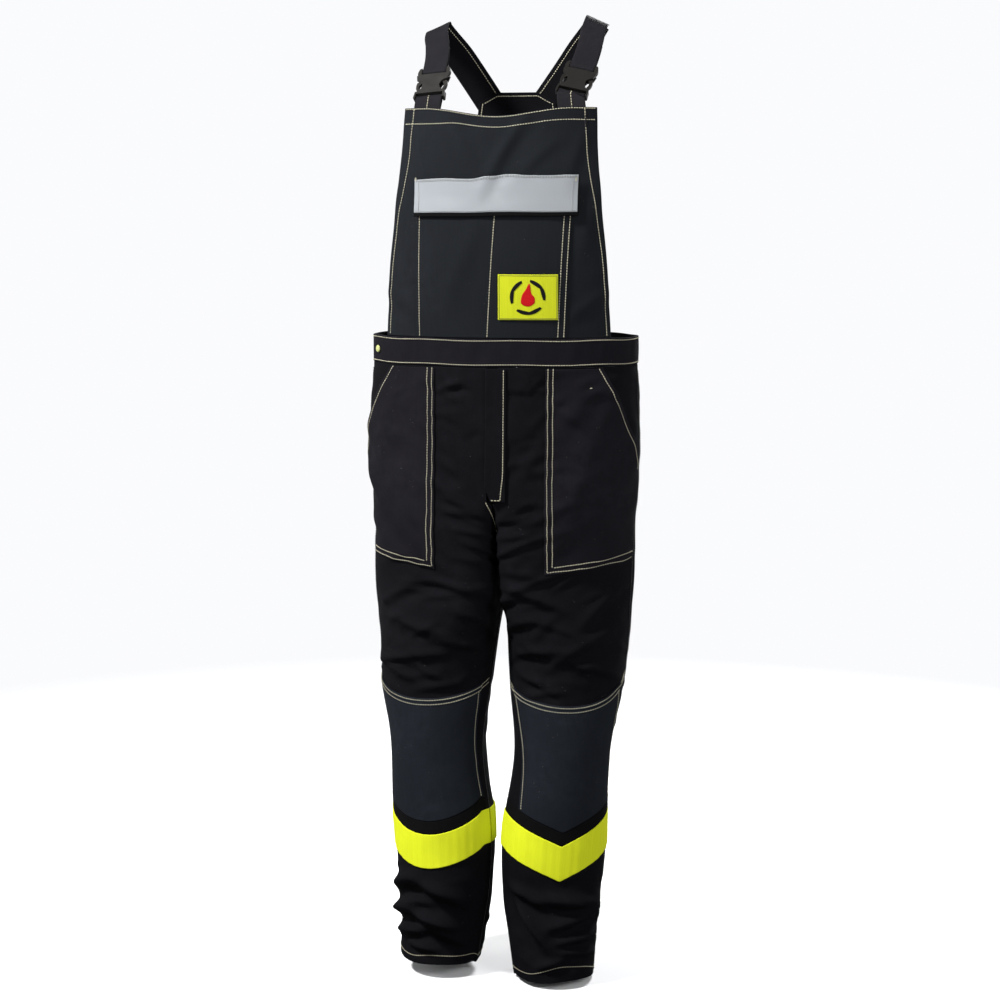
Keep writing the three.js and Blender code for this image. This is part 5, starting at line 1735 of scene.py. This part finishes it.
def backTop(x):
    return backTopZ - 0.55 * np.maximum(0, np.abs(np.asarray(x, float)) - back["flat"])


bibPatch("back_panel", "back_panel", "blackTwill", lambda z: -backHalf(z), backHalf,
    fixed(waistTop + 0.0004), backTop,
         -clothT, clothT, surface=rear, size=(0.24, 0.4), flip=True)
z = np.linspace(waistTop + 0.003, backTopZ - 0.018, 320)
for lift in (0.0002, -clothT - 0.0002):
    for side in (-1, 1):
        points, normals = rear(side * (backHalf(z) - back["stitch"]), z)
        stitch(
            "stitching_back_panel", points, normals * (1 if lift > 0 else -1),
            lift=abs(lift) if lift < 0 else lift,
        )
    x = np.linspace(-back["topHalfWidth"] + back["stitch"], back["topHalfWidth"] - back["stitch"], 120)
    points, normals = rear(x, backTop(x) - back["stitch"])
    stitch(
        "stitching_back_panel", points, normals * (1 if lift > 0 else -1),
        lift=abs(lift) if lift < 0 else lift,
    )
sewAll("stitching_back_panel", "garment")
print("bib, pockets and back panel are made")

# fly and zip

fly = {"free": -0.011, "sewn": 0.022, "thickness": 0.0016, "low": 0.0004}
flyFoot = waistZ - body["flyLength"]


def flySurface(x, z):
    x, z = np.broadcast_arrays(np.asarray(x, float), np.asarray(z, float))

    def rest(xx, zz):
        return np.stack([xx, -frontDepth(zz) * np.sqrt(1 - (xx / hipWidth(zz)) ** 2), zz], -1)

    step = 0.001
    a, b = rest(x + step, z) - rest(x - step, z), rest(x, z + 3 * step) - rest(x, z - 3 * step)
    return rest(x, z) + origin, unit(np.cross(a, b))


def flyFree(z):
    v = (np.asarray(z, float) - flyFoot) / body["flyLength"]
    return np.where(v > 0.12, fly["free"], between(-0.002, fly["free"], np.clip(v / 0.12, 0, 1)))


def flySwell(x, z):
    loose = 1 - blendStep(x, fly["free"], fly["free"] + 0.014)
    return loose * (0.0009 + 0.0006 * np.sin(z * 47)) + 0.0007


bibPatch("fly_placket", "fly_placket", "blackTwill", flyFree, fixed(fly["sewn"]),
    fixed(flyFoot), fixed(waistZ - 0.0025),
         fly["low"], fly["thickness"], surface=flySurface, size=(0.033, 0.21), step=0.003, puff=flySwell,
         bodyName="fly_placket")
z = np.linspace(flyFoot + 0.003, waistZ - 0.004, 200)
sweep = fly["sewn"] - 0.004 - 0.004 * (1 - blendStep(z, flyFoot, flyFoot + 0.05))
points, normals = flySurface(sweep, z)
stitch("stitching_fly", points, normals, lift=0.0031)
x = np.linspace(-0.0015, fly["sewn"] - 0.008, 40)
points, normals = flySurface(x, np.full(40, flyFoot + 0.003))
stitch("stitching_fly", points, normals, lift=0.0031)
sewAll("stitching_fly", "fly_placket")
# the front seam's one row below the fly
z = np.linspace(flyFoot - 0.055, flyFoot - 0.001, 60)
points, normals = legSurface("right")(between(0.010, 0.020, blendStep(z, z[0], z[-1])), z)
stitch("stitching_front_seam", points, normals, lift=0.0004)
sewAll("stitching_front_seam", "garment")
bibPatch("fly_shield", "fly_shield", "blackTwill", fixed(-0.018), fixed(0.018),
    fixed(flyFoot - 0.002), fixed(waistZ - 0.004),
         -0.0122, 0.0012, surface=flySurface, size=(0.036, 0.21), step=0.006)


def zipTeeth():
    # The chain is two rows of teeth that lock between each other.
    low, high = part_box("zip_chain")
    foot = Vector((0, low.y + 0.0011, low.z))
    top = Vector((0, high.y - 0.0011, high.z))
    axis = top - foot
    pitch = 0.0022
    count = int(axis.length / pitch)
    vertices, faces = [], []
    for k in range(count):
        for side in (-1, 1):
            base = foot + axis * ((k + (0.25 if side > 0 else 0.75)) / count)
            a, b = sorted((side * -0.0006, side * 0.0026))
            start = len(vertices)
            for dx in (a, b):
                for dy in (-0.0010, 0.0010):
                    for dz in (-0.00048, 0.00048):
                        vertices.append(
                            (base.x + dx, base.y + dy * (0.8 if dx * side < 0 else 1), base.z + dz)
                        )
            for face in ((0, 1, 3, 2), (4, 6, 7, 5), (0, 4, 5, 1), (2, 3, 7, 6), (0, 2, 6, 4), (1, 5, 7, 3)):
                faces.append(tuple(start + i for i in face))
    piece = linkMesh("zip_teeth", np.array([tuple(v) for v in vertices]), faces, None, "dullBrass")
    piece.data.polygons.foreach_set("use_smooth", np.zeros(len(piece.data.polygons), bool))
    return settle(piece, "garment", ["zip_chain"])


zipTeeth()

# straps

strapLook = {"width": 0.040, "thickness": 0.0017, "tabThickness": 0.0013, "tabWidth": 0.044}
shoulder = {"inset": 0.131, "height": 0.140, "back": 0.084, "slope": math.radians(25), "drift": 0.008}
backStrap = {"width": 0.048, "thickness": 0.0026}
buckle = {"slotTop": 0.059, "maleTop": 0.067, "wrap": 0.0030}


def ribbon(name, centres, across, widths, thickness, material, waves=0.0, uvStart=0.0):
    # A strap along a smooth path, with a rounded section.
    centres = np.asarray(centres, float)
    along = unit(np.gradient(centres, axis=0))
    across = unit(across - along * (across * along).sum(1)[:, None])
    normal = np.cross(across, along)
    share = np.array([-1, -0.985, -0.955, -0.9, -0.6, -0.3, 0, 0.3, 0.6, 0.9, 0.955, 0.985, 1])
    crown = np.array([0, 0.55, 0.85, 1, 1, 1, 1, 1, 1, 1, 0.85, 0.55, 0])
    outline = [(a, c) for a, c in zip(share, crown)] + [(a, -c) for a,
        c in zip(share[-2:0:-1], crown[-2:0:-1])]
    count, each = len(centres), len(outline)
    length = np.concatenate([[0], np.cumsum(np.linalg.norm(np.diff(centres, axis=0), axis=1))]) + uvStart
    sway = waves * np.sin(length * 70)
    vertices = np.zeros((count, each, 3))
    uvs = np.zeros((count, each, 2))
    for k, (a, c) in enumerate(outline):
        vertices[:, k] = centres + across * (a * widths / 2)[:, None] + normal * (
            c * thickness / 2 + sway
        )[:, None]
        uvs[:, k] = np.stack([a * widths / 2, length], 1)
    index = np.arange(count * each).reshape(count, each)
    a, b = index[:-1], index[1:]
    faces = np.stack([x.ravel() for x in (a, b, np.roll(b, -1, 1), np.roll(a, -1, 1))], 1).tolist()
    faces += [tuple(index[0]), tuple(index[-1][::-1])]
    return linkMesh(
        name, vertices.reshape(-1, 3), faces, uvs.reshape(-1, 2), material,
    ), centres, across, normal


def smoothPath(points, step=0.003):
    # A smooth line through a few points, in even steps.
    p = np.asarray(points, float)
    p = np.concatenate([2 * p[:1] - p[1:2], p, 2 * p[-1:] - p[-2:-1]])
    out = []
    for i in range(1, len(p) - 2):
        for t in np.linspace(0, 1, 24, endpoint=False):
            a, b, c, d = p[i - 1 : i + 3]
            out.append(
                0.5 * (
                    2 * b + (c - a) * t + (2 * a - 5 * b + 4 * c - d) * t**2 + (3 * b - a - 3 * c + d) * t**3
                )
            )
    out = np.array(out + [p[-2]])
    length = np.linalg.norm(np.diff(out, axis=0), axis=1).sum()
    return evenSteps(out, max(4, int(length / step)))


def makeStrap(which, side):
    release = joints[f"{which}_buckle_release"]
    prong = joints[f"{which}_outer_prong_squeeze"]
    rise = np.array(release["axis"], float)
    inward = np.array(prong["axis"], float) * side
    across = np.cross(inward, rise)
    foot = np.array(release["pos_m"], float) - rise * 0.0506

    def at(x, y, z):
        return foot + across * x + inward * y + rise * z

    # tab: up from behind the bib, through the lower bar, and back down
    turn = 0.0030
    tabX = side * bib["strapInset"]
    behind = -clothT - 0.0058
    hidden = [front(np.array([tabX]), np.array([bibTopZ - drop])) for drop in (0.038, 0.013)]
    down = [p[0] + n[0] * (behind - 0.0012) for p, n in hidden]
    bend = [at(0, -turn * math.cos(t), 0.0045 + turn * math.sin(t)) for t in np.linspace(0, math.pi, 9)]
    path = down + [at(0, -turn, -0.001)] + bend + [at(0, turn, -0.001)] + [
        p - np.array([0, -0.0026, 0]) for p in reversed(down)
    ]
    centres = smoothPath(path, 0.002)
    piece, centres, wide, normal = ribbon(
        f"strap_tab_{which}", centres, np.tile(across, (len(centres), 1)),
        np.full(len(centres), strapLook["tabWidth"]), strapLook["tabThickness"], "strapWeave",
    )
    settle(piece, "garment", [f"strap_tab_{which}"])
    inFront = [
        k for k in range(len(centres)) if k < len(centres) // 2 and centres[k][2] > bibTopZ
        + origin[2] - 0.004
    ]
    stitch(
        f"stitching_tab_{which}", centres[inFront] - inward * 0.0008, np.tile(-inward, (len(inFront), 1)),
        lift=0.0002,
    )
    sewAll(f"stitching_tab_{which}", "garment")

    # webbing: a short tail behind the male half, round its bar, and up to the shoulder
    drift = shoulder["drift"]
    fold = np.array(
        [
            side * shoulder["inset"] + drift, shoulder["back"],
            bibTopZ + shoulder["height"] + side * 0.45 * drift,
        ]
    ) + origin
    slope = np.array([math.cos(shoulder["slope"]), 0, -side * math.sin(shoulder["slope"])])
    wrap = buckle["wrap"]
    straight = 0.149
    sideways = 0.8 * float((fold - at(0, 0, straight)) @ across)

    def rising(y, height):
        # above the buckle the strap bends sideways in its own plane
        return at(
            sideways * (max(0, height - buckle["maleTop"]) / (straight - buckle["maleTop"])) ** 2, y, height,
        )

    tail = [
        rising(wrap * 0.6, 0.112), rising(wrap * 0.75, 0.094), at(0, wrap, 0.076),
        at(0, wrap, buckle["slotTop"] + 0.0006),
    ]
    aroundBar = [
        at(
            0, wrap * math.cos(t), buckle["slotTop"] + 0.0004 - wrap * math.sin(t),
        ) for t in np.linspace(0.25, math.pi - 0.25, 7)
    ]
    upper = [
        at(0, -wrap, buckle["slotTop"] + 0.0006), at(0, -wrap, 0.067), rising(-wrap * 0.85, 0.080),
        rising(-wrap * 0.5, 0.098), rising(-0.0009, 0.122), rising(-0.0004, 0.142),
    ]
    near = fold + np.array([0, -0.020, -0.004])
    over = [near, fold + np.array([0, -0.003, 0]), fold + np.array([0, 0.002, -0.0012])]
    centres = smoothPath(tail + aroundBar + upper + over, 0.0022)
    height = np.clip(
        (
            (centres - at(0, 0, 0.125)) @ unit(over[-1] - at(0, 0, 0.125))
        ) / np.linalg.norm(over[-1] - at(0, 0, 0.125)),
        0, 1,
    )
    turnShare = blendStep(height, 0.4 if side > 0 else 0.1, 1)[:, None]
    wide = unit(between(np.tile(across, (len(centres), 1)), np.tile(slope, (len(centres), 1)), turnShare))
    piece, centres, wide, normal = ribbon(
        f"webbing_{which}", centres, wide, np.full(len(centres), strapLook["width"]), strapLook["thickness"],
        "strapWeave",
    )
    tuple(at(0, 0, 0.074))
    tuple(at(0, 0, 0.150))
    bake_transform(piece)
    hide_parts(f"strap_loop_{which}", f"strap_webbing_{which}")

    # cloth strap: from the fold down to the outside of the back panel
    start = fold + np.array([0, 0.0050, -0.0034])
    cornerX = 0.72 * back["topHalfWidth"]
    cornerPoint, cornerNormal = rear(np.array([side * cornerX]), np.array([backTopZ - 0.020]))
    corner = cornerPoint[0] + cornerNormal[0] * 0.0046
    fall = unit(corner - start)
    level = unit(np.array([-fall[2], 0, fall[0]]))
    t = np.linspace(0, 1, 70)
    centres = between(start, corner, t[:, None])
    centres[:, 1] += 0.009 * np.sin(math.pi * t)
    turnShare = blendStep(t, 0, 0.4)[:, None]
    wide = unit(between(np.tile(slope, (70, 1)), np.tile(level, (70, 1)), turnShare))
    widths = between(strapLook["width"], backStrap["width"], blendStep(t, 0, 0.4))
    piece, centres, wide, normal = ribbon(
        f"back_strap_{which}", centres, wide, widths, backStrap["thickness"], "blackTwill",
    )
    settle(piece, "garment", [f"back_strap_{which}"])
    for edge in (-1, 1):
        line = centres + wide * (edge * (widths / 2 - 0.0075))[:, None]
        for facing in (-1, 1) if edge == -side else (1,):
            stitch(
                f"stitching_back_strap_{which}",
                line[2:-2] + facing * normal[2:-2] * backStrap["thickness"] / 2, facing * normal[2:-2],
                lift=0.0001,
            )
    sewAll(f"stitching_back_strap_{which}", "garment")


for which, side in sides.items():
    makeStrap(which, side)
print("straps are made")

# buckles, zip metal and waist button

bevelLook = {"width": 0.0006, "segments": 3}


def dress(node, material, width=None):
    # The moulding is right as it is: it gets rounded edges and a real finish.
    piece = frame["nodes"][node]
    piece.data.materials.clear()
    piece.data.materials.append(materials[material])
    soften = piece.modifiers.new("roundEdges", "BEVEL")
    soften.width = width or bevelLook["width"]
    soften.segments = bevelLook["segments"]
    soften.limit_method = "ANGLE"
    soften.angle_limit = math.radians(38)
    soften.harden_normals = False


for which in sides:
    for part in ("female", "male", "prong_outer", "prong_inner"):
        dress(f"buckle_{part}_{which}", "buckleNylon")
    dress(f"zip_tape_{which}", "zipWeave", 0.0002)
dress("zip_slider", "dullBrass", 0.0003)
dress("zip_pull", "dullBrass", 0.0002)
dress("zip_bottom_stop", "dullBrass", 0.0003)
dress("waist_button", "limeEnamel", 0.0003)


# floor

floorLook = {
    "color": (0.9, 0.905, 0.915, 1), "bounce": (0.12, 0.12, 0.125, 1), "drop": 0.004, "fadeStart": 0.9,
    "fadeEnd": 2.4,
}
floorMaterial = bpy.data.materials.new("paleFloor")
floorMaterial.use_nodes = True
n = Nodes(floorMaterial.node_tree)
floorShader = n.tree.nodes["Principled BSDF"]
floorPlace = n.add("ShaderNodeTexCoord").outputs["Object"]
floorTint = n.mix(n.noise(floorPlace, 3.0, 3.0), floorLook["color"], (0.87, 0.875, 0.885, 1))
# the floor looks pale, but throws little light back up, so that folds keep their shade
seen = n.add("ShaderNodeLightPath").outputs["Is Camera Ray"]
n.join(n.mix(seen, floorLook["bounce"], floorTint), floorShader.inputs["Base Color"])
floorShader.inputs["Roughness"].default_value = 0.9
floorShader.inputs["Specular IOR Level"].default_value = 0.1
away = n.add("ShaderNodeVectorMath", operation="LENGTH")
n.join(floorPlace, away.inputs[0])
fade = n.ramp(away.outputs["Value"], floorLook["fadeEnd"], floorLook["fadeStart"])
n.join(fade, floorShader.inputs["Alpha"])
floorMesh = bpy.data.meshes.new("floor")
turns = np.linspace(0, 2 * math.pi, 64, endpoint=False)
rim = [(2.5 * math.cos(t), 2.5 * math.sin(t), 0) for t in turns]
floorMesh.from_pydata(rim, [], [tuple(range(64))])
floorMesh.materials.append(floorMaterial)
floor = bpy.data.objects.new("floor", floorMesh)
floor.location.z = -floorLook["drop"]
scene.collection.objects.link(floor)
